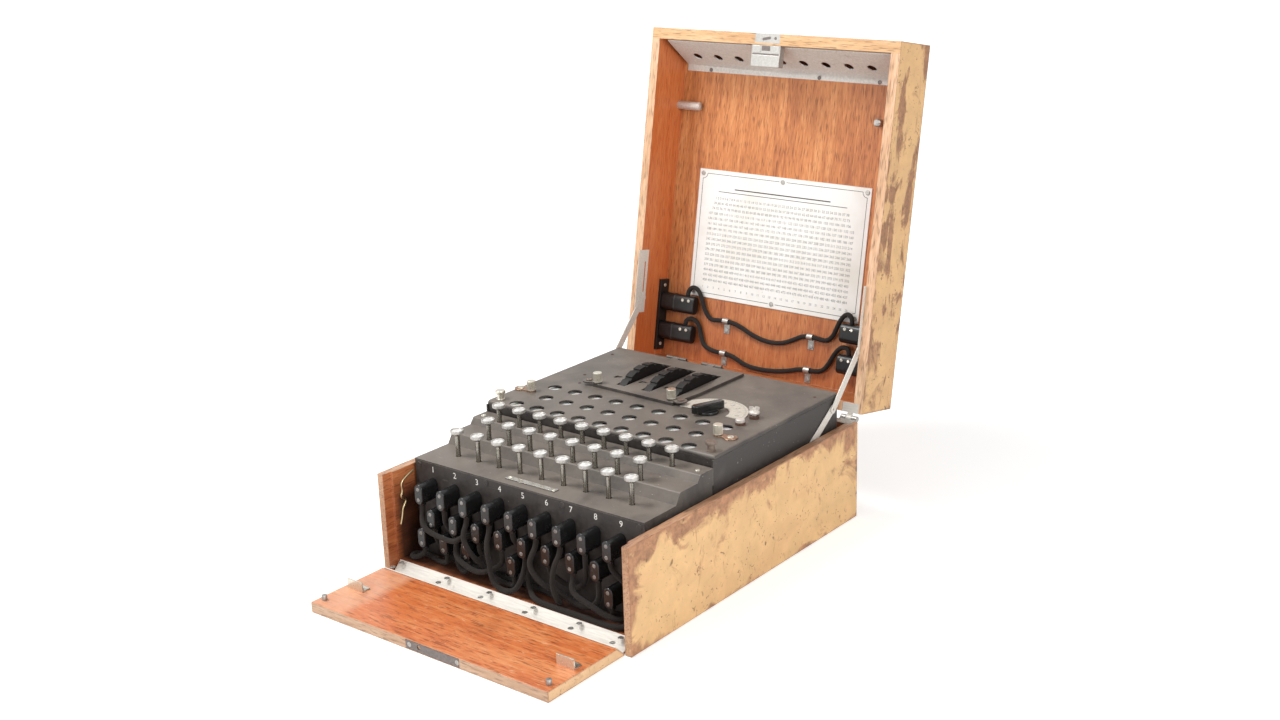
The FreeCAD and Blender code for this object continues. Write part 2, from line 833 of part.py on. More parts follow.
def plugboard_panel():
    """The front panel with two holes for each of the 26 sockets, and four rivets."""
    back = D.panel_front + D.panel_thick
    panel = box("panel_board", (-MACHINE_HALF, MACHINE_HALF), (D.panel_front, back),
                (D.floor_thick, D.deck_low_top - D.body_sheet))
    holes = []
    span = (D.panel_front - 1, back + 1)
    for x, z, row_index, column in socket_places():
        name = f"socket_{row_index}_{column}"
        upper, lower = (x, z + D.pin_spacing / 2), (x, z - D.pin_spacing / 2)
        holes.append(rod(f"{name}_upper", "y", D.big_pin_radius + D.pin_gap, span, upper))
        holes.append(rod(f"{name}_lower", "y", D.small_pin_radius + D.pin_gap, span, lower))
    pieces = [cut("panel_pierced", panel, *holes)]
    for number, x in enumerate((-MACHINE_HALF + 5, -MACHINE_HALF / 3, MACHINE_HALF / 3, MACHINE_HALF - 5)):
        pieces.append(rod(f"panel_rivet_{number}", "y", D.rivet_radius,
                          (D.panel_front - D.rivet_rise, D.panel_front),
                          (x, D.deck_low_top - D.rivet_radius * 2)))
    node("plugboard_panel", *pieces)


def plug_shape(name, x, z):
    """One double-pin plug: a long rounded body with a big and a small pin behind it."""
    front = D.panel_front - D.plug_length
    radius = D.plug_width / 2
    straight = D.plug_tall / 2 - radius
    span = (front, D.panel_front)
    return fuse(
        name,
        box(f"{name}_body", (x - radius, x + radius), span, (z - straight, z + straight)),
        rod(f"{name}_top", "y", radius, span, (x, z + straight)),
        rod(f"{name}_foot", "y", radius, span, (x, z - straight)),
        rod(f"{name}_big_pin", "y", D.big_pin_radius, (front + 1, D.panel_front + D.pin_reach),
            (x, z + D.pin_spacing / 2)),
        rod(f"{name}_small_pin", "y", D.small_pin_radius, (front + 1, D.panel_front + D.pin_reach),
            (x, z - D.pin_spacing / 2)),
    )


def patch_plugs():
    """The 22 plugs that stand in the plugboard."""
    plugs = []
    for x, z, row_index, column in socket_places():
        if (row_index, column) not in OPEN_SOCKETS:
            plugs.append(plug_shape(f"plug_{row_index}_{column}", x, z))
    node("patch_plugs", *plugs)


# The 11 patch cords: the two plugs of each, as row and column, and between them the route's points
# in X, Y and Z. Every cord leaves the underside of its plugs.
PATCH_CORDS = [
    ((0, 0), [(-106.4, 20.2, 59.5), (-104.5, 15.8, 53), (-98, 12.4, 47.5), (-89, 12.5, 44.5),
              (-77, 12.4, 43.6), (-66, 12.4, 43), (-60, 13.5, 45), (-55, 18, 49.5), (-49, 23, 48.5),
              (-45, 27.5, 43.5), (-43.5, 29.5, 37.5), (-41.5, 26.5, 33), (-40.5, 21.5, 35),
              (-40.52, 20.2, 41)], (1, 2)),
    ((0, 6), [(51.7, 20.2, 60), (49, 15.5, 51), (48, 13, 41), (48, 12.8, 31), (50, 13.5, 23),
              (50.5, 16.5, 16.5), (47, 22, 13.2), (39, 28, 13), (28, 31, 13), (14, 31.5, 13.2),
              (-4, 32, 13), (-24, 31.6, 13.1), (-44, 32, 13), (-64, 31.7, 13.2), (-80, 32, 13),
              (-88, 31.6, 16.5), (-92.5, 28.5, 24), (-93.5, 24, 31.5), (-93.22, 20.2, 39.5)], (1, 0)),
    ((2, 0), [(-106.4, 20.2, 20), (-113, 17, 15.5), (-120, 16.2, 13.2), (-125, 20, 13),
              (-123.5, 26, 13), (-116.5, 28.4, 13.1), (-107, 27, 13.2), (-97, 24.5, 13.1),
              (-87.5, 22.7, 14), (-80.6, 20.8, 17.5), (-80.05, 20.2, 22)], (2, 1)),
    ((0, 1), [(-80.05, 20.2, 60.5), (-80.5, 21, 53), (-76.5, 22, 47.5), (-71.8, 23, 42), (-70.3, 23, 34),
              (-70, 22, 26), (-68, 20.5, 18.5), (-62, 19, 14), (-56, 19, 15), (-53.7, 20.2, 20.5)], (2, 2)),
    ((0, 2), [(-53.7, 20.2, 60.5), (-53.2, 14.5, 54), (-51.3, 12.5, 47.5), (-46.5, 12.5, 40),
              (-42, 14.5, 33.5), (-38, 18.5, 27), (-33, 21.5, 20), (-26, 23, 14.5), (-16, 24, 13),
              (-7, 23.5, 13.4), (-2, 21.3, 17), (-1, 20.2, 21.5)], (2, 4)),
    ((0, 3), [(-27.35, 20.2, 60), (-26.5, 15, 52), (-24.5, 12.6, 43.5), (-22.5, 12.5, 34.5),
              (-21.5, 12.5, 25), (-19, 12.6, 17.5), (-12.5, 12.8, 13), (-3, 12.8, 13), (5, 13, 16.5),
              (10.3, 14, 24), (12.2, 17, 32.5), (12.18, 20.2, 40.5)], (1, 4)),
    ((0, 4), [(-1, 20.2, 60.2), (1, 23.5, 53.5), (5, 26, 46.5), (7.4, 27, 38), (8.5, 26.5, 29.5),
              (12, 23, 21), (19, 17.5, 15.2), (28, 13.6, 13.2), (41, 12.8, 12.9), (56, 12.9, 12.9),
              (71, 12.7, 13), (86, 12.9, 12.9), (100, 12.7, 13), (112, 13.2, 13), (120.5, 16, 14),
              (125, 21.5, 19), (125.3, 25, 28), (122.5, 25.5, 38), (118, 24, 47), (111, 22.3, 53.5),
              (104.4, 20.2, 60)], (0, 8)),
    ((0, 5), [(25.35, 20.2, 60), (23.5, 15.5, 52), (22.5, 13, 44.5), (28, 13, 36), (35.5, 15, 29),
              (44, 19, 24.5), (53, 22.5, 20), (63, 23, 16.5), (73, 21.3, 17), (82, 20, 20.5),
              (88, 21, 25), (91, 20.7, 31.5), (91.22, 20.2, 40)], (1, 7)),
    ((1, 1), [(-66.9, 20.2, 41), (-65.8, 16.5, 34.5), (-61, 12.8, 28.5), (-50.5, 12.5, 24.3),
              (-39, 12.6, 21.8), (-30, 14.5, 23), (-22, 19.5, 26.5), (-16.5, 22.5, 32),
              (-14.2, 20.2, 40)], (1, 3)),
    ((1, 6), [(64.85, 20.2, 41), (66.5, 14.3, 34.8), (73, 12.7, 30), (82, 12.6, 27.7), (91, 12.8, 25),
              (100, 13.8, 21), (108, 16, 18.5), (114.2, 20, 17.2), (115.5, 25.5, 17),
              (111, 28.8, 17.2), (106, 26.5, 17.8), (104.4, 20.2, 20.6)], (2, 8)),
    ((1, 5), [(38.5, 20.2, 40.5), (41.5, 25, 33), (49, 28.5, 27.5), (60, 29.5, 26.8), (68, 28.7, 33),
              (73, 26, 42), (76.5, 22.5, 51), (78.05, 20.2, 60)], (0, 7)),
]


def plug_exit(row_index, column):
    """Where a cord leaves the underside of a plug."""
    for x, z, row, place_in_row in socket_places():
        if (row, place_in_row) == (row_index, column):
            y = D.panel_front - D.plug_length + D.plug_exit_back
            return x.value, y.value, (z - D.plug_tall / 2).value
    return None


def patch_cords():
    """The patch cords, from plug to plug."""
    cords = []
    for number, (start, points, end) in enumerate(PATCH_CORDS, start=1):
        route = [plug_exit(*start)] + points + [plug_exit(*end)]
        cords.append(tube(f"patch_cord_{number:02d}", route, D.cord_radius.value))
    node("patch_cords", *cords)


# Lamps and contacts under the deck and cover

def lamp_places():
    """Name, X and Y of each of the 26 lamps."""
    for number, x, row_index in key_places():
        yield f"{number:02d}", x, D.lamp_row_front + D.lamp_row_step * row_index


def lamp_board():
    """The board under the lamp windows, its two legs and 26 bulbs."""
    front = D.lamp_row_front - D.bulb_cap_radius * 1.5
    back = D.lamp_row_front + D.lamp_row_step * 2 + D.bulb_cap_radius * 1.5
    under = D.lamp_board_top - D.lamp_board_thick
    pieces = [box("lamp_plate", (-D.stack_side, D.stack_side), (front, back), (under, D.lamp_board_top))]
    for side_name, x in (("left", -D.stack_side), ("right", D.stack_side - D.lamp_board_thick)):
        pieces.append(box(f"lamp_leg_{side_name}", (x, x + D.lamp_board_thick), (front, back),
                          (D.floor_thick, under)))
    for name, x, y in lamp_places():
        glass = doc.addObject("Part::Sphere", f"bulb_glass_{name}")
        bind(glass, "Radius", D.bulb_radius)
        place(glass, x, y, D.bulb_centre_z)
        cap = rod(f"bulb_cap_{name}", "z", D.bulb_cap_radius, (D.lamp_board_top, D.bulb_centre_z), (x, y))
        pieces.append(fuse(f"bulb_{name}", glass, cap))
    node("lamp_board", *pieces)


def contact_stack():
    """The insulated bars under the three key rows, each key's contact spring on top."""
    base_top = D.floor_thick + D.stack_base_thick
    contact_top = D.key_stem_bottom - D.key_travel - D.key_overtravel
    bar_top = contact_top - D.contact_rise
    pieces = [box("stack_base", (-D.stack_side, D.stack_side), (D.stack_front, D.stack_back),
                  (D.floor_thick, base_top))]
    for row_index in range(3):
        y = D.key_row_front + D.key_row_step * row_index
        pieces.append(box(f"stack_bar_{row_index}", (-D.stack_side, D.stack_side),
                          (y - D.stack_bar_half, y + D.stack_bar_half), (base_top, bar_top)))
    for number, x, row_index in key_places():
        y = D.key_row_front + D.key_row_step * row_index
        half = D.contact_half
        pieces.append(box(f"contact_{number:02d}", (x - half, x + half), (y - half, y + half),
                          (bar_top, contact_top)))
    node("contact_stack", *pieces)


def battery():
    """The lamp battery on the floor, with its two contact strips."""
    x = D.battery_left
    y = D.battery_front
    top = D.floor_thick + D.battery_height
    strip = D.battery_width / 8
    block = box("battery_block", (x, x + D.battery_width), (y, y + D.battery_depth), (D.floor_thick, top))
    strips = [box(f"battery_strip_{number}", (start, start + strip),
                  (y + strip, y + D.battery_depth - strip), (top, top + D.body_sheet / 2))
              for number, start in enumerate((x + strip, x + D.battery_width - strip * 2))]
    node("battery", block, *strips)


# Keys

def keys():
    """The 26 sprung keys: a round stem and a rimmed cap with a dished glass."""
    tops = (D.key_top_low, D.key_top_middle, D.key_top_high)
    for number, x, row_index in key_places():
        length = tops[row_index] - D.key_stem_bottom
        cap = D.key_cap_radius
        rim_foot = length - D.key_rim_height
        profile = [
            (0, 0),
            (D.key_stem_radius, 0),
            (D.key_stem_radius, rim_foot - D.key_cone_height),
            (cap - D.key_rim, rim_foot),
            (cap, rim_foot),
            (cap, length),
            (cap - D.key_rim, length),
            (cap - D.key_rim, length - D.key_glass_drop),
            (0, length - D.key_glass_drop),
        ]
        key = turned(f"key_body_{number:02d}", "XZ_Plane", "V_Axis", profile)
        y = D.key_row_front + D.key_row_step * row_index
        place(key, x, y, D.key_stem_bottom)
        node(f"key_{number:02d}", key)


# Rotors and the frame that carries them

def rotor_face(index):
    """X of a rotor's right face, counted from the left."""
    return D.rotor_right_face - D.rotor_pitch * (2 - index)


def rotor(index, label):
    """One rotor: core, letter ring and notched thumbwheel, bored for the spindle."""
    bore = D.spindle_radius + D.running_gap
    wheel_left = D.rotor_length - D.thumbwheel_width
    ring_left = wheel_left - D.letter_ring_width
    profile = [
        (0, bore),
        (D.rotor_length, bore),
        (D.rotor_length, D.thumbwheel_radius),
        (wheel_left, D.thumbwheel_radius),
        (wheel_left, D.letter_ring_radius),
        (ring_left, D.letter_ring_radius),
        (ring_left, D.rotor_core_radius),
        (0, D.rotor_core_radius),
    ]
    body = turned(f"{label}_body", "XY_Plane", "H_Axis", profile)
    doc.recompute()
    half = D.thumb_notch_width / 2
    floor = D.thumbwheel_radius - D.thumb_notch_depth
    over = D.thumbwheel_radius + 1
    notch = outline(body, "XZ_Plane", [
        (wheel_left, floor), (D.rotor_length, floor), (D.rotor_length, over), (wheel_left, over)])
    pocket = body.newObject("PartDesign::Pocket", f"{label}_notch")
    pocket.Profile = notch
    pocket.Midplane = True
    bind(pocket, "Length", half * 2)
    pattern = body.newObject("PartDesign::PolarPattern", f"{label}_notches")
    pattern.Originals = [pocket]
    pattern.Axis = (body.Origin.OriginFeatures[0], [""])
    pattern.Angle = 360
    pattern.Occurrences = 26
    body.Tip = pattern
    place(body, rotor_face(index) - D.rotor_length, D.rotor_axis_y, D.rotor_axis_z)
    node(label, body)


def machine_frame():
    """The machine's side, front and rear sheets, its hinge posts and the rotors' cradle."""
    shell_top = D.cover_skirt_bottom - D.joint_gap
    floor = D.floor_thick
    skin = D.body_sheet
    pieces = []
    for side_name, x in (("left", -MACHINE_HALF), ("right", MACHINE_HALF - skin)):
        pieces.append(box(f"side_sheet_{side_name}", (x, x + skin), (D.deck_back, D.cover_back),
                          (floor, shell_top)))
    inner = MACHINE_HALF - skin
    pieces.append(box("front_sheet", (-inner, inner), (D.cover_front, D.cover_front + skin),
                      (floor, shell_top)))
    pieces.append(box("rear_sheet", (-inner, inner), (D.cover_back - skin, D.cover_back),
                      (floor, shell_top)))
    left_end = rotor_face(0) - D.rotor_length - D.end_wheel_gap - D.end_wheel_width
    right_end = rotor_face(2) + D.end_wheel_gap + D.end_wheel_width
    plate = D.cradle_plate_thick
    axis = (D.rotor_axis_y, D.rotor_axis_z)
    spindle = rod("spindle", "x", D.spindle_radius, (left_end - plate, right_end + plate), axis)
    pieces.append(spindle)
    wheels = (("reflector", left_end, left_end - plate),
              ("entry_wheel", right_end - D.end_wheel_width, right_end))
    for name, wheel_left, plate_left in wheels:
        wheel = rod(f"{name}_disc", "x", D.end_wheel_radius,
                    (wheel_left, wheel_left + D.end_wheel_width), axis)
        stand = box(f"{name}_stand", (plate_left, plate_left + plate),
                    (D.rotor_axis_y - D.cradle_plate_half, D.rotor_axis_y + D.cradle_plate_half),
                    (floor, D.cradle_plate_top))
        bore = rod(f"{name}_bore", "x", D.spindle_radius,
                   (left_end - plate * 2, right_end + plate * 2), axis)
        pieces.append(cut(name, wheel, bore))
        pieces.append(cut(f"{name}_plate", stand, bore))
    for side_name, side in (("left", -1), ("right", 1)):
        pieces += cover_hinge_post(side_name, side)
    node("machine_frame", *pieces)


COVER_HINGE_Y = D.cover_back + D.cover_hinge_back
COVER_HINGE_Z = D.cover_top - D.cover_hinge_drop


def cover_hinge_span(side):
    """The three knuckles of one of the cover's hinges, as pairs of X."""
    middle = D.cover_hinge_side * side
    third = D.lid_leaf_width / 2
    gap = D.joint_gap / 2
    cuts = (middle - third * 1.5, middle - third / 2, middle + third / 2, middle + third * 1.5)
    return [(cuts[0], cuts[1] - gap), (cuts[1] + gap, cuts[2] - gap), (cuts[2] + gap, cuts[3])]


def cover_hinge_post(side_name, side):
    """A post from the floor with two knuckles and the pin of the cover's hinge."""
    spans = cover_hinge_span(side)
    at = (COVER_HINGE_Y, COVER_HINGE_Z)
    back = COVER_HINGE_Y + D.cover_knuckle_radius
    post = box(f"cover_post_{side_name}", (spans[0][0], spans[2][1]), (back, back + D.body_sheet),
               (D.floor_thick, COVER_HINGE_Z))
    parts = [post]
    for number, span in ((0, spans[0]), (2, spans[2])):
        parts.append(rod(f"post_knuckle_{side_name}_{number}", "x", D.cover_knuckle_radius, span, at))
        parts.append(box(f"post_web_{side_name}_{number}", span, (COVER_HINGE_Y, back),
                         (COVER_HINGE_Z - D.cover_pin_radius * 2, COVER_HINGE_Z)))
    bore = rod(f"post_bore_{side_name}", "x", D.cover_pin_radius, (spans[0][0] - 1, spans[2][1] + 1), at)
    welded = cut(f"cover_hinge_post_{side_name}", fuse(f"post_welded_{side_name}", *parts), bore)
    pin = rod(f"cover_pin_{side_name}", "x", D.cover_pin_radius, (spans[0][0], spans[2][1]), at)
    return [welded, pin]


# Covers

# Each latch: its knob's place and the place of the screw in its tab.
COVER_LATCHES = (
    ("cover_latch_left", D.cover_latch_left_x, D.cover_latch_y, -1),
    ("cover_latch_right", D.cover_latch_right_x, D.cover_latch_y, 1),
)
ROTOR_LATCHES = (
    ("rotor_latch_left", D.rotor_latch_left_x, D.rotor_latch_y, -1),
    ("rotor_latch_right", D.rotor_latch_right_x, D.rotor_latch_y, 1),
)


def well_bounds(height):
    """Front and back of the opening that the thumbwheels need at a height."""
    rise = height - D.rotor_axis_z
    half = root(D.thumbwheel_radius * D.thumbwheel_radius - rise * rise) + D.slot_end_gap
    return D.rotor_axis_y - half, D.rotor_axis_y + half


def main_cover():
    """The hinged black cover with its lamp windows and the well over the rotors."""
    front = D.cover_front
    top = D.cover_top
    skin = D.body_sheet
    plan = [(0, 0), (MACHINE_HALF * 2, 0), (MACHINE_HALF * 2, D.cover_back - front),
            (0, D.cover_back - front)]
    shell = padded("cover_shell", "XY_Plane", plan, top - D.cover_skirt_bottom)
    height = (top - D.cover_skirt_bottom).value

    def is_front(middle, direction):
        return abs(middle.z - height) < 0.01 and abs(middle.y) < 0.01

    def is_side(middle, direction):
        return abs(middle.z - height) < 0.01 and abs(direction.y) > 0.99

    rounded(shell, D.cover_nose_radius, is_front)
    rounded(shell, D.cover_side_radius, is_side)
    place(shell, -MACHINE_HALF, front, D.cover_skirt_bottom)
    inner = MACHINE_HALF - skin
    tools = [box("cover_hollow", (-inner, inner), (front + skin * 2, D.cover_back - skin),
                 (D.cover_skirt_bottom - 1, top - skin))]
    for name, x, y in lamp_places():
        tools.append(rod(f"lamp_window_{name}", "z", D.window_radius, (top - skin - 1, top + 1), (x, y)))
    well_front, well_back = well_bounds(top - skin)
    tools.append(box("rotor_well",
                     (D.rotor_flap_left + D.cover_well_inset, D.rotor_right_face + D.slot_side_gap),
                     (well_front, well_back), (top - skin - 1, top + 1)))
    tools.append(rod("knob_hole", "z", D.knob_shaft_radius + D.running_gap, (top - skin - 1, top + 1),
                     (D.knob_x, D.knob_y)))
    for name, x, y, side in COVER_LATCHES:
        tools.append(rod(f"{name}_hole", "z", D.latch_shank_radius + D.running_gap,
                         (top - skin - 1, top + 1),
                         (x, y)))
    pieces = [cut("cover_pierced", shell, *tools)]
    at = (COVER_HINGE_Y, COVER_HINGE_Z)
    for side_name, side in (("left", -1), ("right", 1)):
        span = cover_hinge_span(side)[1]
        knuckle = rod(f"cover_knuckle_{side_name}", "x", D.cover_knuckle_radius, span, at)
        leaf = box(f"cover_leaf_{side_name}", span, (D.cover_back, COVER_HINGE_Y - D.cover_pin_radius),
                   (D.cover_skirt_bottom, COVER_HINGE_Z + D.cover_knuckle_radius))
        bore = rod(f"cover_bore_{side_name}", "x", D.cover_pin_radius + D.running_gap,
                   (span[0] - 1, span[1] + 1), at)
        welded = fuse(f"cover_welded_{side_name}", knuckle, leaf)
        pieces.append(cut(f"cover_hinge_{side_name}", welded, bore))
    node("main_cover", *pieces)


TAB_STARTS = (D.rotor_tab_left, D.rotor_tab_right)


def rotor_hinge_spans(start):
    """The three knuckles of one of the rotor flap's hinges."""
    third = D.rotor_tab_width / 3
    gap = D.joint_gap / 2
    return [(start, start + third - gap), (start + third + gap, start + third * 2 - gap),
            (start + third * 2 + gap, start + third * 3)]


def rotor_flap():
    """The flap over the rotors, slotted for the thumbwheels, with three viewing windows."""
    left = D.rotor_flap_left
    right = D.rotor_flap_right
    front = D.rotor_flap_front
    back = D.rotor_flap_back
    thick = D.rotor_flap_top - D.cover_top - D.joint_gap
    plan = [(0, 3), (right - left - 6, 0), (right - left - 1.5, 33), (right - left, back - front),
            (0, back - front)]
    plate = padded("rotor_flap_plate", "XY_Plane", plan, thick)
    place(plate, left, front, D.cover_top + D.joint_gap)
    through = (D.cover_top, D.rotor_flap_top + 1)
    slot_front, slot_back = well_bounds(D.cover_top + D.joint_gap)
    tools = []
    films = []
    for index in range(3):
        face = rotor_face(index)
        tools.append(box(f"thumb_slot_{index}",
                         (face - D.thumbwheel_width - D.slot_side_gap, face + D.slot_side_gap),
                         (slot_front, slot_back), through))
        x = face - D.view_window_left_shift
        window = ((x - D.view_window_width / 2, x + D.view_window_width / 2),
                  (D.view_window_y - D.view_window_depth / 2, D.view_window_y + D.view_window_depth / 2))
        tools.append(box(f"view_window_{index}", *window, through))
        film_low = D.cover_top + D.joint_gap * 3
        films.append(box(f"view_film_{index}", *window, (film_low, film_low + D.film_thick)))
    for name, x, y, side in ROTOR_LATCHES:
        tools.append(rod(f"{name}_hole", "z", D.latch_shank_radius + D.running_gap, through, (x, y)))
    at = (D.rotor_pin_y, D.rotor_pin_z)
    hinge_parts = []
    for number, start in enumerate(TAB_STARTS):
        span = rotor_hinge_spans(start)[1]
        hinge_parts.append(rod(f"flap_knuckle_{number}", "x", D.rotor_knuckle_radius, span, at))
        hinge_parts.append(box(f"flap_web_{number}", span, (back, D.rotor_pin_y),
                               (D.cover_top + D.joint_gap * 2, D.rotor_flap_top)))
    tools.append(rod("flap_pin_bore", "x", D.rotor_pin_radius + D.running_gap, (left, right), at))
    body = cut("rotor_flap_cut", fuse("rotor_flap_welded", plate, *hinge_parts), *tools)
    tabs = []
    for name, x, y, side in ROTOR_LATCHES:
        tabs += lobed_tab(name, x, y, side, D.rotor_tab_reach, D.rotor_flap_top)
    node("rotor_flap", body, *films, *tabs)


def lobed_tab(name, x, y, side, reach, low):
    """A latch's lobed tab: a plate round the shank and out to a screw beside it."""
    high = low + D.tab_thick
    screw_x = x + reach * side
    span = (x, screw_x) if side > 0 else (screw_x, x)
    half = D.latch_radius * 0.8
    plate = fuse(
        f"{name}_tab_blank",
        box(f"{name}_tab_bar", span, (y - half, y + half), (low, high)),
        rod(f"{name}_tab_round", "z", D.latch_radius, (low, high), (x, y)),
        rod(f"{name}_tab_lobe", "z", D.tab_radius, (low, high), (screw_x, y)),
    )
    hole = rod(f"{name}_tab_hole", "z", D.latch_shank_radius + D.running_gap, (low - 1, high + 1), (x, y))
    screw = rod(f"{name}_tab_screw", "z", D.tab_radius / 2, (high, high + D.tab_thick * 0.7), (screw_x, y))
    return [cut(f"{name}_tab", plate, hole), screw]


def latch(name, x, y, low):
    """A knurled knob over its tab, on a shank through the tab and the sheet."""
    foot = D.tab_thick + D.joint_gap
    shank = rod(f"{name}_shank", "z", D.latch_shank_radius, (-D.body_sheet, foot + 1), (0, 0))
    knob = rod(f"{name}_knob", "z", D.latch_radius, (foot, D.latch_height), (0, 0))
    bundle = node(name, fuse(f"{name}_body", shank, knob))
    place(bundle, x, y + FRONT, low)


def latches():
    """The two latches on the cover and the two on the rotor flap."""
    for name, x, y, side in COVER_LATCHES:
        latch(name, x, y, D.cover_top)
    for name, x, y, side in ROTOR_LATCHES:
        latch(name, x, y, D.rotor_flap_top)


def selector_knob():
    """The black bar knob of the lamp switch, on its round base and shaft."""
    half = D.knob_half_length
    width = D.knob_half_width
    base_top = D.knob_base_height
    top = D.knob_height
    inner = half - width
    parts = [
        rod("knob_shaft", "z", D.knob_shaft_radius, (-D.latch_height, 1), (0, 0)),
        rod("knob_base", "z", D.knob_base_radius, (0, base_top), (0, 0)),
        box("knob_bar", (-inner, inner), (-width, width), (base_top / 2, top)),
        rod("knob_end_front", "z", width, (base_top / 2, top), (-inner, 0)),
        rod("knob_end_back", "z", width, (base_top / 2, top), (inner, 0)),
    ]
    bundle = node("selector_knob", fuse("knob_body", *parts))
    turn(bundle, Z_AXIS, D.knob_turn_angle)
    place(bundle, D.knob_x, D.knob_y + FRONT, D.cover_top + D.joint_gap)


def stacked(name, x, y, low, steps):
    """Coaxial discs one above the other, welded: each step is a radius and a height."""
    discs = []
    for number, (radius, height) in enumerate(steps):
        discs.append(rod(f"{name}_{number}", "z", radius, (low, low + height), (x, y)))
        low = low + height
    return fuse(name, *discs)


def cover_fittings():
    """Everything small that is fixed to the main cover."""
    top = D.cover_top
    pieces = []
    film_top = top - D.film_drop
    outer = D.key_pitch * 4 + D.window_radius
    for row_index in range(3):
        y = D.lamp_row_front + D.lamp_row_step * row_index
        half = D.film_width / 2
        left = D.field_offset - outer - D.film_end / 2
        right = D.field_offset + outer + D.film_end / 2
        fore = D.cover_front + D.body_sheet * 2 + D.joint_gap if row_index == 0 else y - half
        strip = box(f"film_{row_index}", (left, right), (fore, y + half),
                    (film_top - D.film_thick, film_top))
        ends = [box(f"film_end_{row_index}_{number}", span, (fore, y + half), (film_top, top - D.body_sheet))
                for number, span in enumerate(((left, left + D.film_end / 2),
                                               (right - D.film_end / 2, right)))]
        pieces.append(fuse(f"film_frame_{row_index}", strip, *ends))
    dial = rod("dial_disc", "z", D.dial_outer_radius, (top, top + D.dial_thick), (D.knob_x, D.knob_y))
    eye = rod("dial_eye", "z", D.dial_inner_radius, (top - 1, top + 2), (D.knob_x, D.knob_y))
    reach = D.dial_outer_radius + 1
    fore = box("dial_fore", (D.knob_x - reach, D.knob_x + reach), (D.knob_y - reach, D.knob_y),
               (top - 1, top + 2))
    flank = box("dial_flank", (D.knob_x - reach, D.rotor_flap_right + D.joint_gap),
                (D.knob_y - reach, D.knob_y + reach), (top - 1, top + 2))
    pieces.append(cut("dial_plate", dial, fore, eye, flank))
    for side_name, side in (("left", -1), ("right", 1)):
        third = D.mushroom_rise / 3
        pieces.append(stacked(f"mushroom_{side_name}", D.mushroom_side * side, D.mushroom_y, top,
                              [(D.mushroom_radius * 0.8, third * 2), (D.mushroom_radius, third)]))
    half_post = D.post_rise / 2
    pieces.append(stacked("lamp_post", D.post_x, D.post_y, top,
                          [(D.post_radius, half_post), (D.post_radius * 0.9, half_post)]))
    quarter = D.terminal_rise / 4
    pieces.append(stacked("terminal", D.post_x + 1, D.terminal_y, top,
                          [(D.post_radius, quarter), (D.post_radius / 2, quarter * 0.5),
                           (D.post_radius * 1.1, quarter * 1.2), (D.post_radius * 0.4, quarter * 1.3)]))
    for name, x, y, side in COVER_LATCHES:
        pieces += lobed_tab(name, x, y, side, D.cover_tab_reach, top)
    for number, start in enumerate(TAB_STARTS):
        spans = rotor_hinge_spans(start)
        at = (D.rotor_pin_y, D.rotor_pin_z)
        whole = (spans[0][0], spans[2][1])
        leaf = box(f"tab_leaf_{number}", whole,
                   (D.rotor_pin_y, D.cover_back - D.body_sheet / 2), (top, top + D.tab_thick))
        knuckles = [rod(f"tab_knuckle_{number}_{part}", "x", D.rotor_knuckle_radius, span, at)
                    for part, span in enumerate((spans[0], spans[2]))]
        webs = [box(f"tab_web_{number}_{part}", span,
                    (D.rotor_pin_y, D.rotor_pin_y + D.rotor_knuckle_radius), (top, D.rotor_pin_z))
                for part, span in enumerate((spans[0], spans[2]))]
        room = rod(f"tab_room_{number}", "x", D.rotor_knuckle_radius + D.joint_gap,
                   (spans[0][1], spans[2][0]), at)
        bore = rod(f"tab_bore_{number}", "x", D.rotor_pin_radius, (whole[0] - 1, whole[1] + 1), at)
        pieces.append(cut(f"tab_{number}", fuse(f"tab_welded_{number}", leaf, *knuckles, *webs), room, bore))
        pieces.append(rod(f"tab_pin_{number}", "x", D.rotor_pin_radius, whole, at))
    node("cover_fittings", *pieces)


# Lid: boards, fittings, notice, spare leads

LID_BACK = D.case_depth + D.lid_hinge_back
LID_RIM = D.joint_gap / 2
LID_CEILING = D.lid_height - D.lid_panel_thick
LID_INNER = D.case_width / 2 - D.lid_side_thick


def lid_box(name, x, s, d):
    """A block in the closed lid: s runs forward from its rear face, d up from the hinge's plane."""
    return box(name, x, (-(as_size(s[1]) + D.lid_hinge_back), -(as_size(s[0]) + D.lid_hinge_back)), d)


def lid_leaf_space(name, side, d):
    """The space of the lid's leaf of one hinge."""
    outer = D.case_width / 2 - D.lid_leaf_edge
    inner = outer - D.lid_leaf_width
    x = (inner, outer) if side > 0 else (-outer, -inner)
    return lid_box(name, x, (0, D.lid_leaf_depth), d)


def slot_plate_space(name, side, d):
    """The flat space that a slotted plate takes in a side rail."""
    x = (LID_INNER, WALL_INNER - D.joint_gap)
    if side < 0:
        x = (-x[1], -x[0])
    return lid_box(name, x, (D.slot_plate_low, D.slot_plate_high), d)


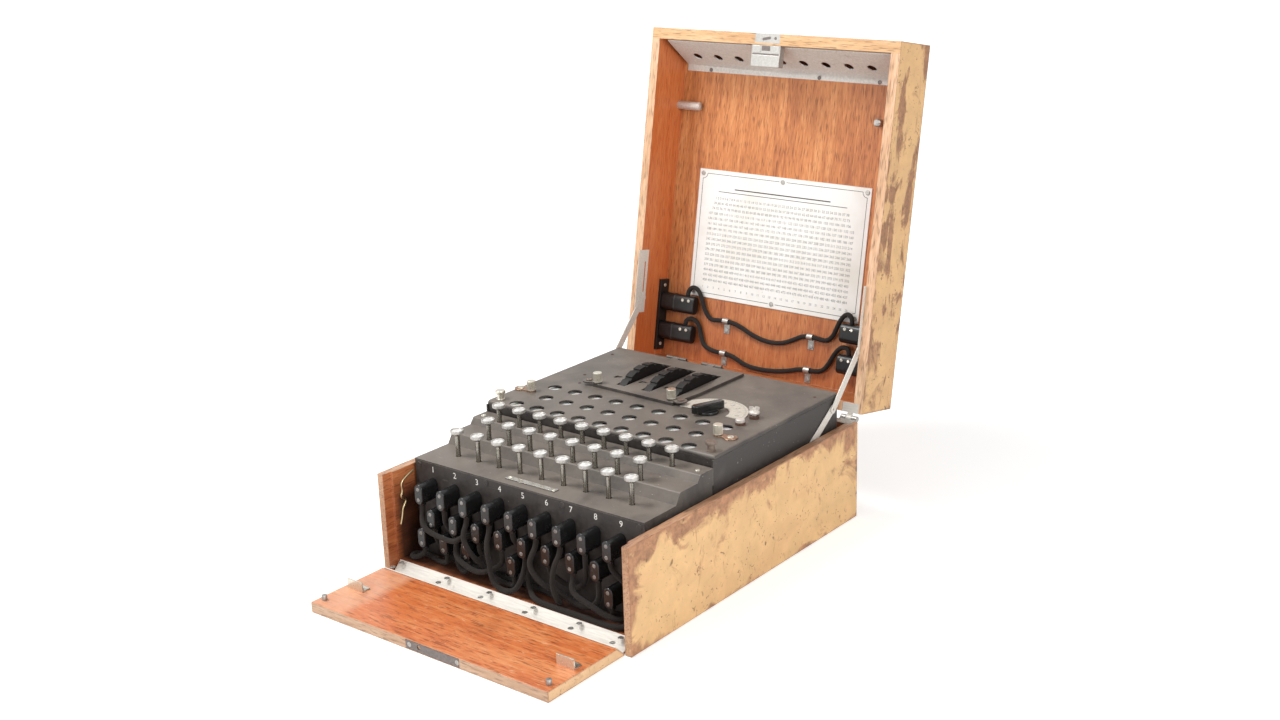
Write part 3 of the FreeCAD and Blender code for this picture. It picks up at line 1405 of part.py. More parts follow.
def lid_boards():
    """The lid's top panel and its four rails."""
    half = D.case_width / 2
    depth = D.case_depth
    rails = (LID_RIM, LID_CEILING)
    pieces = [lid_box("lid_panel", (-half, half), (0, depth), (LID_CEILING, D.lid_height))]
    leaf_room = (as_size(0), LID_RIM + D.lid_leaf_thick)
    for side_name, side, x in (("left", -1, (-half, -LID_INNER)), ("right", 1, (LID_INNER, half))):
        rail = lid_box(f"lid_rail_{side_name}", x, (0, depth), rails)
        pieces.append(cut(f"lid_side_{side_name}", rail,
                          lid_leaf_space(f"side_leaf_room_{side_name}", side, leaf_room),
                          slot_plate_space(f"slot_plate_room_{side_name}", side,
                                           (as_size(0), D.slot_plate_rise))))
    back = lid_box("lid_back_rail", (-LID_INNER, LID_INNER), (0, D.lid_side_thick), rails)
    pieces.append(cut("lid_back", back,
                      lid_leaf_space("back_leaf_room_left", -1, leaf_room),
                      lid_leaf_space("back_leaf_room_right", 1, leaf_room)))
    fore = lid_box("lid_front_rail", (-LID_INNER, LID_INNER), (depth - D.lid_front_thick, depth), rails)
    room = lid_box("lock_plate_room", (D.lock_left + 3, D.lock_right - 1),
                   (depth - D.lid_front_thick + 2, depth), (as_size(0), LID_RIM + D.body_sheet))
    pieces.append(cut("lid_front", fore, room))
    lid_node("lid_boards", *pieces)


def lid_hinge_leaf(side_name, side):
    """The lid's leaf of one hinge, its middle knuckle round the pin."""
    outer = D.case_width / 2 - D.lid_leaf_edge
    inner = outer - D.lid_leaf_width
    x = (inner, outer) if side > 0 else (-outer, -inner)
    third = D.lid_leaf_width / 3
    middle = (x[0] + third + D.joint_gap / 2, x[1] - third - D.joint_gap / 2)
    leaf = lid_leaf_space(f"lid_leaf_{side_name}", side, (LID_RIM, LID_RIM + D.lid_leaf_thick))
    web = box(f"lid_leaf_web_{side_name}", middle, (-D.lid_hinge_back, 0),
              (LID_RIM, LID_RIM + D.lid_leaf_thick))
    knuckle = rod(f"lid_knuckle_{side_name}", "x", D.lid_hinge_radius, middle, (0, 0))
    bore = rod(f"lid_bore_{side_name}", "x", D.lid_pin_radius + D.running_gap, (x[0] - 1, x[1] + 1), (0, 0))
    return cut(f"lid_hinge_{side_name}", fuse(f"lid_hinge_welded_{side_name}", leaf, web, knuckle), bore)


def slot_plate(side_name, side):
    """The slotted steel plate on a side rail, with the stud of the stay's upper link."""
    plate = slot_plate_space(f"slot_plate_{side_name}", side, (-D.slot_plate_drop, D.slot_plate_rise))
    inner = (STAY_MIDDLE, LID_INNER) if side > 0 else (-LID_INNER, -STAY_MIDDLE)
    at = (-(D.stay_lid_s + D.lid_hinge_back), D.stay_lid_d)
    stud = rod(f"lid_stud_{side_name}", "x", D.stay_pin_radius, inner, at)
    low = D.stay_lid_s + D.stay_pin_radius * 3
    width = D.stay_pin_radius / 2
    slot = lid_box(f"plate_slot_{side_name}", (LID_INNER - 1, LID_INNER + 2) if side > 0 else
                   (-LID_INNER - 2, -LID_INNER + 1), (low, D.slot_plate_high - D.stay_pin_radius * 6),
                   (D.stay_lid_d - width, D.stay_lid_d + width))
    return cut(f"slot_plate_body_{side_name}", fuse(f"slot_plate_welded_{side_name}", plate, stud), slot)


def cable_clip(name, x, s):
    """A bent strip that holds a spare lead against the panel, with a screwed tail."""
    half = D.clip_width / 2
    inner = D.cord_radius + D.pin_gap * 3
    y = -(s + D.lid_hinge_back)
    at = (y, D.spare_cord_d)
    band = rod(f"{name}_band", "x", inner + D.clip_sheet, (x - half, x + half), at)
    tail = box(f"{name}_tail", (x - half, x + half), (y, y + D.clip_tail),
               (LID_CEILING - D.clip_sheet, LID_CEILING))
    bore = rod(f"{name}_bore", "x", inner, (x - half - 1, x + half + 1), at)
    beyond = box(f"{name}_beyond", (x - half - 1, x + half + 1), (y - 6, y + D.clip_tail + 1),
                 (LID_CEILING, LID_CEILING + 5))
    strip = cut(f"{name}_strip", fuse(f"{name}_welded", band, tail), bore, beyond)
    screw = rod(f"{name}_screw", "z", D.clip_width / 3,
                (LID_CEILING - D.clip_sheet * 2, LID_CEILING - D.clip_sheet), (x, y + D.clip_tail * 0.75))
    return [strip, screw]


def lamp_rack():
    """The bent sheet at the front of the lid that keeps nine spare lamps."""
    depth = D.case_depth
    skin = D.rack_sheet
    low = D.rack_low_d
    foot = D.lid_front_thick + D.joint_gap
    bend = depth - D.rack_top_s - 2
    profile = [
        (depth - D.rack_flange_s, LID_CEILING),
        (bend, LID_CEILING),
        (foot, low),
        (foot + skin * 1.2, low),
        (bend + skin * 0.7, LID_CEILING - skin),
        (depth - D.rack_flange_s, LID_CEILING - skin),
    ]
    rack = padded("rack_bent", "YZ_Plane", profile, D.rack_half * 2)
    place(rack, -D.rack_half, -LID_BACK, 0)
    hole_d = (LID_CEILING * 3 + low * 2) / 5
    holes = []
    bored = (-(D.case_depth + D.lid_hinge_back - foot - skin * 2), -(D.rack_flange_s + D.lid_hinge_back))
    for column in range(9):
        x = D.field_offset * 5 + D.rack_hole_pitch * (column - 4)
        holes.append(rod(f"rack_hole_{column}", "y", D.rack_hole_radius, bored, (x, hole_d)))
    return cut("lamp_rack", rack, *holes)


def lid_fittings():
    """Everything of metal or moulded that is fixed in the lid."""
    depth = D.case_depth
    pieces = [lamp_rack()]
    pieces.append(lid_box("lock_plate", (D.lock_left + 3, D.lock_right - 1),
                          (depth - D.lid_front_thick + 2, depth), (LID_RIM, LID_RIM + D.body_sheet)))
    pieces.append(lid_box("lock_body", (D.lock_left, D.lock_right),
                          (D.lock_low_s, depth - D.lid_front_thick),
                          (LID_RIM * 4, LID_RIM * 4 + D.lock_depth - 1)))
    for side_name, side in (("left", -1), ("right", 1)):
        pieces.append(lid_hinge_leaf(side_name, side))
        pieces.append(slot_plate(side_name, side))
        x = (LID_INNER - D.holder_thick, LID_INNER)
        if side < 0:
            x = (-LID_INNER, -LID_INNER + D.holder_thick)
        pieces.append(lid_box(f"plug_holder_{side_name}", x, (D.holder_low, D.holder_high),
                              (D.holder_floor, LID_CEILING)))
        pieces += cable_clip(f"upper_clip_{side_name}", D.clip_side * side, D.clip_upper_s)
        pieces += cable_clip(f"lower_clip_{side_name}", D.clip_side * side, D.clip_lower_s)
    pieces.append(rod("side_peg", "x", D.lid_peg_radius, (-LID_INNER, -LID_INNER + D.lid_peg_length),
                      (-(D.lid_peg_s + D.lid_hinge_back), D.lid_peg_d)))
    pieces.append(rod("round_peg", "z", D.round_peg_radius, (LID_CEILING - D.round_peg_rise, LID_CEILING),
                      (D.round_peg_x, -(D.lid_peg_s + D.lid_hinge_back))))
    lid_node("lid_fittings", *pieces)


def instruction_plate():
    """The pale notice sheet and its six screws."""
    low = LID_CEILING - D.notice_thick
    pieces = [lid_box("notice", (D.notice_left, D.notice_right), (D.notice_low, D.notice_high),
                      (low, LID_CEILING))]
    inset = D.notice_screw_radius * 2
    columns = (D.notice_left + inset, (D.notice_left + D.notice_right) / 2, D.notice_right - inset)
    for number, x in enumerate(columns):
        for end, s in (("low", D.notice_low + inset), ("high", D.notice_high - inset)):
            pieces.append(rod(f"notice_screw_{number}_{end}", "z", D.notice_screw_radius,
                              (low - D.notice_thick * 0.6, low), (x, -(s + D.lid_hinge_back))))
    lid_node("instruction_plate", *pieces)


# The two spare leads: each point's X, distance s forward of the lid's rear face, and depth d.
UPPER_LEAD = [(-97, 75.3, 39.8), (-97, 80.5, 39.8), (-92.5, 85, 41.3), (-86, 82.5, 42.2), (-81, 74, 42.3),
              (-77, 62.5, 43.3), (-69, 54, 43.8), (-58, 55.5, 43.8), (-42, 55.5, 43.8), (-30, 52, 43.8),
              (-16, 46, 43.8), (2, 42.5, 43.8), (19, 44, 43.8), (32, 50, 43.8), (42, 55.5, 43.8),
              (58, 55.5, 43.8), (68, 54, 43.8), (75.5, 60, 43.6), (79.5, 70, 42.4), (84, 80, 42.2),
              (90.5, 85, 41.3), (97, 81, 39.8), (97, 75.3, 39.8)]
LOWER_LEAD = [(-97, 45.3, 39.8), (-97, 50.5, 39.8), (-90, 53, 41.5), (-82.5, 48, 43), (-79.5, 37.5, 43.8),
              (-75.5, 27.5, 43.8), (-67.5, 24, 43.8), (-57, 22.7, 43.8), (-43, 22.7, 43.8),
              (-34, 20, 43.8), (-23, 15.5, 43.8), (-8, 13.8, 43.8), (12, 15, 43.8), (30, 18.5, 43.8),
              (42, 22.7, 43.8), (58, 22.7, 43.8), (68, 25, 43.8), (74, 33.5, 43.8), (80, 45.5, 43.3),
              (88, 52.5, 41.5), (97, 51.3, 39.8), (97, 45.3, 39.8)]


def spare_plug(name, side, s):
    """One spare plug, lying along X with its pins in the holder."""
    radius = D.spare_plug_thick / 2
    straight = D.spare_plug_tall / 2 - radius
    outer = LID_INNER - D.holder_thick
    inner = outer - D.spare_plug_length
    x = (inner, outer) if side > 0 else (-outer, -inner)
    y = -(s + D.lid_hinge_back)
    low = D.spare_plug_d - radius
    high = D.spare_plug_d + radius
    return fuse(
        name,
        box(f"{name}_body", x, (y - straight, y + straight), (low, high)),
        rod(f"{name}_upper_round", "x", radius, x, (y - straight, D.spare_plug_d)),
        rod(f"{name}_lower_round", "x", radius, x, (y + straight, D.spare_plug_d)),
    )


def spare_leads():
    """Two spare cords and their four plugs, held in the lid by the clips and holders."""
    pieces = []
    for name, s, route in (("upper", D.spare_upper_s, UPPER_LEAD), ("lower", D.spare_lower_s, LOWER_LEAD)):
        for side_name, side in (("left", -1), ("right", 1)):
            pieces.append(spare_plug(f"spare_plug_{name}_{side_name}", side, s))
        points = [(x, -(distance + D.lid_hinge_back.value), d) for x, distance, d in route]
        pieces.append(tube(f"spare_cord_{name}", points, D.cord_radius.value))
    lid_node("spare_leads", *pieces)


# Flap

def flap_board():
    """The front flap's board, bevelled along the mitre and let in for the strike plate."""
    half = WALL_INNER + D.rabbet_step - D.flap_side_gap
    top = D.wall_height - D.joint_gap
    profile = [(0, BEVEL), (D.flap_thick, BEVEL + D.flap_thick), (D.flap_thick, top), (0, top)]
    board = padded("flap_wood", "YZ_Plane", profile, half * 2)
    pin = D.flap_pin_offset
    place(board, -half, -pin, -pin)
    flap_node("flap_board", cut("flap_cut", board, strike_block("strike_room")))


def strike_block(name):
    """The space of the strike plate in the flap's top edge."""
    top = D.wall_height - D.joint_gap - D.flap_pin_offset
    left = D.strike_middle - D.strike_width / 2
    y = (D.strike_thick - D.flap_pin_offset, D.flap_thick - D.strike_thick - D.flap_pin_offset)
    return box(name, (left, left + D.strike_width), y, (top - D.strike_thick, top))


def flap_fittings():
    """The flap's hinge leaf, strike plate, two catches and two pegs."""
    pin = D.flap_pin_offset
    inner = D.flap_thick - pin
    pieces = [hinge_leaf("flap_leaf", 1, 1), hinge_screws("flap_screws", 1)]
    strike_hole = rod("strike_hole", "z", D.stay_pin_radius,
                      (D.wall_height - D.strike_thick * 2 - pin, D.wall_height),
                      (D.strike_middle - 15, inner / 2))
    pieces.append(cut("strike_plate", strike_block("strike_sheet"), strike_hole))
    half = D.catch_width / 2
    low = D.catch_height - D.catch_depth / 2 - pin
    high = low + D.catch_depth
    for side_name, side in (("left", -1), ("right", 1)):
        x = (D.catch_side * side - half, D.catch_side * side + half)
        foot = box(f"catch_foot_{side_name}", x, (inner, inner + D.catch_sheet), (low, high))
        stand = box(f"catch_stand_{side_name}", x, (inner, inner + D.catch_rise),
                    (high - D.catch_sheet, high))
        pieces.append(fuse(f"catch_{side_name}", foot, stand))
        pieces.append(rod(f"flap_peg_{side_name}", "y", D.flap_peg_radius, (inner, inner + D.flap_peg_rise),
                          (D.flap_peg_side * side, D.flap_peg_height - pin)))
    flap_node("flap_fittings", *pieces)


# Stays

def stay_bar(name, length, side, layer, near_hole, far_hole):
    """A flat link with round ends, along Y from its own pivot."""
    x = layer if side > 0 else (-layer[1], -layer[0])
    half = D.stay_width / 2
    bar = fuse(
        f"{name}_blank",
        box(f"{name}_bar", x, (0, length), (-half, half)),
        rod(f"{name}_near", "x", half, x, (0, 0)),
        rod(f"{name}_far", "x", half, x, (length, 0)),
    )
    through = (x[0] - 1, x[1] + 1)
    return cut(name, bar,
               rod(f"{name}_near_hole", "x", near_hole, through, (0, 0)),
               rod(f"{name}_far_hole", "x", far_hole, through, (length, 0)))


def stays():
    """The two folding stays, each a lower link on the case and an upper link on the lid."""
    angle = D.lid_open_angle
    arm = D.stay_lid_s + D.lid_hinge_back
    lid_y = LID_HINGE_Y - arm * cosine(angle) + D.stay_lid_d * sine(angle)
    lid_z = LID_HINGE_Z + arm * sine(angle) + D.stay_lid_d * cosine(angle)
    run = lid_y - STAY_BASE_Y
    rise = lid_z - STAY_BASE_Z
    span = root(run * run + rise * rise)
    lower = D.stay_lower_length
    upper = D.stay_upper_length
    lower_turn = arc_tangent(rise, run) - arc_cosine(
        (lower * lower + span * span - upper * upper) / (lower * span * 2))
    upper_turn = arc_tangent(-rise, -run) + arc_cosine(
        (upper * upper + span * span - lower * lower) / (upper * span * 2))
    loose = D.stay_pin_radius + D.running_gap
    small = D.stay_pin_radius / 2
    for side_name, side in (("left", -1), ("right", 1)):
        bar = stay_bar(f"lower_link_{side_name}", lower, side, (STAY_INNER, STAY_INNER + D.stay_thick),
                       loose, small)
        bundle = node(f"stay_{side_name}_lower", bar)
        turn(bundle, X_AXIS, lower_turn)
        place(bundle, 0, STAY_BASE_Y + FRONT, STAY_BASE_Z)
        bar = stay_bar(f"upper_link_{side_name}", upper, side, (STAY_MIDDLE, STAY_OUTER), loose, small)
        bundle = node(f"stay_{side_name}_upper", bar)
        turn(bundle, X_AXIS, upper_turn)
        place(bundle, 0, lid_y + FRONT, lid_z)


# Building every node, then checking and writing them

case_floor()
case_side("case_side_left", -1)
case_side("case_side_right", 1)
case_rear_wall()
case_hardware()
key_deck()
plugboard_panel()
patch_plugs()
patch_cords()
lamp_board()
contact_stack()
battery()
keys()
for rotor_index, rotor_label in enumerate(("rotor_left", "rotor_middle", "rotor_right")):
    rotor(rotor_index, rotor_label)
machine_frame()
main_cover()
rotor_flap()
latches()
selector_knob()
cover_fittings()
lid_boards()
lid_fittings()
instruction_plate()
spare_leads()
flap_board()
flap_fittings()
stays()

doc.recompute()
broken = [f"{thing.Label}: {thing.State}" for thing in doc.Objects
          if "Invalid" in thing.State or "Error" in thing.State]
broken += [f"{bundle.Label}: bad shape" for bundle in NODES
           if bundle.Shape.isNull() or not bundle.Shape.isValid()]
if broken:
    raise RuntimeError("; ".join(broken))

os.makedirs("parts", exist_ok=True)
for bundle in NODES:
    bundle.Shape.exportStep(f"parts/{bundle.Label}.step")
print(f"{len(NODES)} nodes, {sum(len(bundle.Shape.Solids) for bundle in NODES)} solids")
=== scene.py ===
import math

import bmesh
import bpy
from mathutils import Matrix, Vector


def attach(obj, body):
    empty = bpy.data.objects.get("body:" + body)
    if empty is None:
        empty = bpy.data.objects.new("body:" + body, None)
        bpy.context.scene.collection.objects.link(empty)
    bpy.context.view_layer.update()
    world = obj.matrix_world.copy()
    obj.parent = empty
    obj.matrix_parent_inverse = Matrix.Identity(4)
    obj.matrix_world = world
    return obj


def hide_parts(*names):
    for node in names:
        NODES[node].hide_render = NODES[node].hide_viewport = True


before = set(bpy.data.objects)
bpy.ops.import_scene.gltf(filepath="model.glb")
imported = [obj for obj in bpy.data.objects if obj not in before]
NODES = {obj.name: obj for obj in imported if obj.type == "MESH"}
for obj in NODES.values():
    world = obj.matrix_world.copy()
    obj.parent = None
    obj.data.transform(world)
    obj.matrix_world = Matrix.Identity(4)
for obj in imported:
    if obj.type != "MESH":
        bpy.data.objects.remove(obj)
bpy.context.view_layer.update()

# Every length below is in millimetres. Y counts from the front edge of the case's side boards.
FRONT_TO_MIDDLE = 170
LID_ANGLE = math.radians(100.5)
LID_HINGE = (345.2, 93.75)
LID_BACK = 5.2


def at(x, y, z):
    """A point in metres from X, Y behind the case's front and Z above the ground."""
    return Vector((x, y - FRONT_TO_MIDDLE, z)) / 1000


def in_lid(x, s, d):
    """A point in metres from X, distance s forward of the lid's rear face and depth d below its rim."""
    u = -(s + LID_BACK)
    y = LID_HINGE[0] + u * math.cos(LID_ANGLE) + d * math.sin(LID_ANGLE)
    z = LID_HINGE[1] - u * math.sin(LID_ANGLE) + d * math.cos(LID_ANGLE)
    return at(x, y, z)


LID_UP = (in_lid(0, 1000, 0) - in_lid(0, 0, 0)).normalized()
LID_OUT = (in_lid(0, 0, 0) - in_lid(0, 0, 1000)).normalized()


def frame_of(origin, right, up):
    """A matrix whose X runs right, Y up and Z out of a surface, with its origin in metres."""
    right = Vector(right).normalized()
    out = right.cross(Vector(up)).normalized()
    up = out.cross(right)
    matrix = Matrix((right, up, out)).transposed().to_4x4()
    matrix.translation = origin
    return matrix


def spun(turn, axis="Z"):
    return Matrix.Rotation(math.radians(turn), 4, axis)


def on_top(x, y, z, turn=0):
    """Frame of a thing that lies on a level surface."""
    return Matrix.Translation(at(x, y, z)) @ spun(turn)


def on_front(x, y, z):
    """Frame of a thing that faces forwards."""
    return frame_of(at(x, y, z), (1, 0, 0), (0, 0, 1))


def on_lid(x, s, d, turn=0):
    """Frame of a thing that faces out of the open lid."""
    return frame_of(in_lid(x, s, d), (1, 0, 0), LID_UP) @ spun(turn)


# Camera

CAMERA_PLACE = at(874.374, -894.216, 616.226)
CAMERA_RIGHT = (0.785868, 0.617653, -0.030287)
CAMERA_UP = (-0.165968, 0.257842, 0.951826)
CAMERA_BACK = (0.595707, -0.742982, 0.30514)
FRAME_PIXELS = 1280
FOCAL_PIXELS = 1643.37
SENSOR_WIDTH = 36


def put_in_scene(name, data, body=None):
    """An object of some data, in the scene and, where it has one, on its body."""
    made = bpy.data.objects.new(name, data)
    bpy.context.scene.collection.objects.link(made)
    if body:
        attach(made, body)
    return made


def add_camera():
    data = bpy.data.cameras.new("camera")
    data.sensor_width = SENSOR_WIDTH
    data.sensor_fit = "HORIZONTAL"
    data.lens = FOCAL_PIXELS / FRAME_PIXELS * SENSOR_WIDTH
    data.clip_start = 0.01
    data.clip_end = 60
    matrix = Matrix((CAMERA_RIGHT, CAMERA_UP, CAMERA_BACK)).transposed().to_4x4()
    matrix.translation = CAMERA_PLACE
    camera = put_in_scene("camera", data)
    camera.matrix_world = matrix
    bpy.context.scene.camera = camera


add_camera()


# Materials

def times(colour, share):
    return tuple(c * share for c in colour)


class Nodes:
    """Short names for the nodes of one tree, which starts empty."""

    def __init__(self, owner, output_kind):
        owner.use_nodes = True
        self.tree = owner.node_tree
        self.tree.nodes.clear()
        self.output = self.tree.nodes.new(output_kind)

    def put(self, socket, value):
        if isinstance(value, bpy.types.NodeSocket):
            self.tree.links.new(value, socket)
        elif isinstance(value, tuple) and len(value) == 3 and socket.type == "RGBA":
            socket.default_value = (*value, 1)
        else:
            socket.default_value = value

    def node(self, kind, inputs, output=0, **settings):
        node = self.tree.nodes.new(kind)
        for name, value in settings.items():
            setattr(node, name, value)
        for key, value in inputs.items():
            self.put(node.inputs[key], value)
        return node.outputs[output]

    def calc(self, operation, a, b=0.0):
        return self.node("ShaderNodeMath", {0: a, 1: b}, operation=operation)

    def sum(self, a, b):
        return self.calc("ADD", a, b)

    def both(self, a, b):
        return self.calc("MULTIPLY", a, b)

    def either(self, a, b):
        return self.calc("MAXIMUM", a, b)

    def other(self, a):
        return self.calc("SUBTRACT", 1.0, a)

    def span(self, value, low, high, start=0.0, end=1.0):
        inputs = {"Value": value, "From Min": low, "From Max": high, "To Min": start, "To Max": end}
        return self.node("ShaderNodeMapRange", inputs)

    def seen(self):
        """One for what the camera sees straight, mirrored or through glass."""
        path = self.tree.nodes.new("ShaderNodeLightPath")
        straight = path.outputs["Is Camera Ray"]
        return self.either(self.either(straight, path.outputs["Is Glossy Ray"]),
                           path.outputs["Is Transmission Ray"])


class Finish(Nodes):
    """A material's nodes, round one Principled shader."""

    def __init__(self, name):
        self.material = bpy.data.materials.new(name)
        super().__init__(self.material, "ShaderNodeOutputMaterial")
        self.shader = self.tree.nodes.new("ShaderNodeBsdfPrincipled")
        self.put(self.output.inputs[0], self.shader.outputs[0])
        coordinates = self.tree.nodes.new("ShaderNodeTexCoord")
        self.place = coordinates.outputs["Object"]
        self.facing = coordinates.outputs["Normal"]
        self.strip = coordinates.outputs["UV"]

    def set(self, **values):
        for name, value in values.items():
            self.put(self.shader.inputs[name.replace("_", " ")], value)
        return self.material

    def noise(self, scale, detail, roughness, distortion=0.0, place=None):
        """Noise over the object's own place, of one scale or of one for each axis."""
        place = place or self.place
        if isinstance(scale, tuple):
            place = self.node("ShaderNodeVectorMath", {0: place, 1: scale}, operation="MULTIPLY")
            scale = 1.0
        inputs = {"Vector": place, "Scale": scale, "Detail": detail, "Roughness": roughness,
                  "Distortion": distortion}
        return self.node("ShaderNodeTexNoise", inputs)

    def blend(self, share, a, b):
        return self.node("ShaderNodeMix", {0: share, 6: a, 7: b}, output=2, data_type="RGBA")

    def layer(self, under, mask, amount, over):
        """One colour laid over another where a mask is, and only so far."""
        return self.blend(self.both(mask, amount), under, over)

    def tones(self, value, *stops):
        node = self.tree.nodes.new("ShaderNodeValToRGB")
        ramp = node.color_ramp
        while len(ramp.elements) < len(stops):
            ramp.elements.new(0.5)
        for element, (place, colour) in zip(ramp.elements, stops):
            element.position = place
            element.color = (*colour, 1)
        self.put(node.inputs[0], value)
        return node.outputs[0]

    def parts(self, vector=None):
        node = self.tree.nodes.new("ShaderNodeSeparateXYZ")
        self.put(node.inputs[0], vector or self.place)
        return node.outputs

    def edges(self, radius, low, high):
        """One on a sharp edge, and nought on a flat face."""
        soft = self.node("ShaderNodeBevel", {"Radius": radius}, samples=4)
        sharp = self.node("ShaderNodeNewGeometry", {}, output="Normal")
        dot = self.node("ShaderNodeVectorMath", {0: soft, 1: sharp}, output="Value", operation="DOT_PRODUCT")
        return self.span(self.other(dot), low, high)

    def bump(self, height, strength, distance, radius=0.0):
        inputs = {"Height": height, "Strength": strength, "Distance": distance}
        if radius:
            inputs["Normal"] = self.node("ShaderNodeBevel", {"Radius": radius}, samples=4)
        return self.node("ShaderNodeBump", inputs)


def oak(g, along_y, dark, middle, light):
    """Colour and height of bare oak whose grain runs along the Y of the vector given."""
    broad = g.noise((11, 1.6, 11), 2.0, 0.5, 0.8, along_y)
    streak = g.noise((150, 13, 150), 3.0, 0.65, 0.8, along_y)
    figure = g.noise((420, 60, 420), 2.0, 0.65, 0.5, along_y)
    pores = g.span(g.noise((900, 80, 900), 1.0, 0.5, 0.0, along_y), 0.56, 0.68)
    tone = g.sum(g.both(broad, 0.45), g.both(streak, 0.4))
    tone = g.sum(tone, g.both(figure, 0.25))
    colour = g.tones(tone, (0.38, dark), (0.55, middle), (0.72, light))
    colour = g.layer(colour, pores, 0.6, times(dark, 0.35))
    return colour, g.calc("SUBTRACT", g.both(streak, 0.5), g.both(pores, 0.7))


def painted(g, base, under, worn_at, amount=0.0):
    """Colour of the old ochre paint, worn through to the wood in patches, scraped and flecked."""
    broad = g.noise(7.0, 3.0, 0.55, 0.6)
    patches = g.noise(26.0, 6.0, 0.62, 0.9)
    level = g.sum(g.sum(g.both(broad, 0.5), g.both(patches, 0.6)), g.both(worn_at, 0.26))
    worn = g.span(level, 0.625 - amount, 0.69 - amount)
    shade = g.noise(60.0, 4.0, 0.6)
    paint = g.blend(g.span(shade, 0.35, 0.7), base, times(base, 0.84))
    fleck = g.span(g.noise(190.0, 3.0, 0.6, 1.5), 0.625, 0.69)
    spots = g.span(g.noise(75.0, 2.0, 0.5, 0.4), 0.70, 0.75)
    bare = g.blend(g.span(g.noise((40, 160, 160), 3.0, 0.6), 0.35, 0.65), under, times(under, 0.62))
    rubbed = g.span(g.noise((14, 10, 34), 5.0, 0.65, 0.7), 0.50, 0.66)
    thin = tuple(b * 0.55 + u * 0.5 for b, u in zip(base, under))
    paint = g.layer(paint, rubbed, 0.5, thin)
    colour = g.blend(worn, paint, bare)
    scrape = g.span(g.noise((60, 110, 30), 4.0, 0.65, 1.4), 0.63, 0.68)
    colour = g.layer(colour, scrape, 0.6, times(under, 0.75))
    colour = g.layer(colour, fleck, 0.75, times(under, 0.4))
    colour = g.layer(colour, spots, 0.8, times(under, 0.3))
    return colour, g.calc("SUBTRACT", g.other(worn), g.both(fleck, 0.5))


def board(g, outside, inside_look, outside_look, rims, sheen, strength, radius=0.0):
    """A board's shader, from the colour and height of its two sides and of its rims."""
    colour = g.blend(outside, inside_look[0], outside_look[0])
    for share, rim_colour in rims:
        colour = g.blend(share, colour, rim_colour)
    height = g.sum(g.both(outside, g.both(outside_look[1], 0.6)), g.both(g.other(outside), inside_look[1]))
    return g.set(Base_Color=colour, Roughness=g.span(outside, 0, 1, sheen, 0.58),
                 Normal=g.bump(height, strength, 0.0004, radius))


OCHRE = (0.76, 0.48, 0.225)
UNDER_OCHRE = (0.47, 0.23, 0.115)
# The case's outer faces, in metres.
HALF_WIDTH = 0.1395
HALF_DEPTH = 0.170


def wall_wood():
    """The case boards: ochre paint outside, varnished oak inside, worn wood on the edges, painted shade in
    the plug bay.
    """
    g = Finish("case_wood")
    x, y, z = g.parts()
    across = g.calc("ABSOLUTE", x)
    inner, inner_height = oak(g, g.place, (0.22, 0.055, 0.018), (0.40, 0.12, 0.04), (0.56, 0.21, 0.08))
    # Painted shade: the inner faces turn dark, unevenly, behind the front edge and below the plugs, where the
    # plug bay lies in shadow.
    plug_bay = g.both(g.span(y, -0.161, -0.153), g.span(z, 0.088, 0.066))
    painted_shade = g.span(g.noise(45.0, 4.0, 0.6), 0.25, 0.6, 0.72, 0.96)
    inner = g.layer(inner, plug_bay, painted_shade, (0.040, 0.017, 0.011))
    edge = g.edges(0.0022, 0.005, 0.12)
    top = g.both(g.span(z, 0.074, 0.0936), 0.6)
    front = g.both(g.span(y, 0.02 - HALF_DEPTH, -HALF_DEPTH), 0.5)
    low = g.both(g.span(z, 0.010, 0.0), 0.45)
    rear = g.both(g.span(y, 0.135, 0.169), g.span(y, 0.1698, 0.1694, 0.1, 0.5))
    worn_at = g.either(g.either(edge, top), g.either(front, g.either(low, rear)))
    sides = g.span(across, HALF_WIDTH - 0.0003, HALF_WIDTH - 0.00015)
    back = g.span(y, HALF_DEPTH - 0.0004, HALF_DEPTH - 0.00025)
    under = g.span(z, 0.0002, 0.00005)
    fore = g.span(y, 0.0004 - HALF_DEPTH, 0.00025 - HALF_DEPTH)
    outside = g.either(g.either(sides, back), g.either(under, fore))
    rim = g.both(g.either(g.span(z, 0.0932, 0.0934), g.both(fore, 0.85)), 0.92)
    rim_colour, _ = oak(g, g.place, (0.26, 0.12, 0.06), (0.45, 0.25, 0.145), (0.62, 0.41, 0.26))
    return board(g, outside, (inner, inner_height), painted(g, OCHRE, UNDER_OCHRE, worn_at),
                 [(rim, rim_colour)], 0.38, 0.35)


def lid_frame(g):
    """X, s and d in metres inside the lid, whatever the lid's pose."""
    x, y, z = g.parts()
    base = in_lid(0, 0, 0)
    dy = g.calc("SUBTRACT", y, base.y)
    dz = g.calc("SUBTRACT", z, base.z)
    s = g.sum(g.both(dy, LID_UP.y), g.both(dz, LID_UP.z))
    d = g.sum(g.both(dy, -LID_OUT.y), g.both(dz, -LID_OUT.z))
    joined = g.node("ShaderNodeCombineXYZ", {0: x, 1: s, 2: d})
    return x, s, d, joined


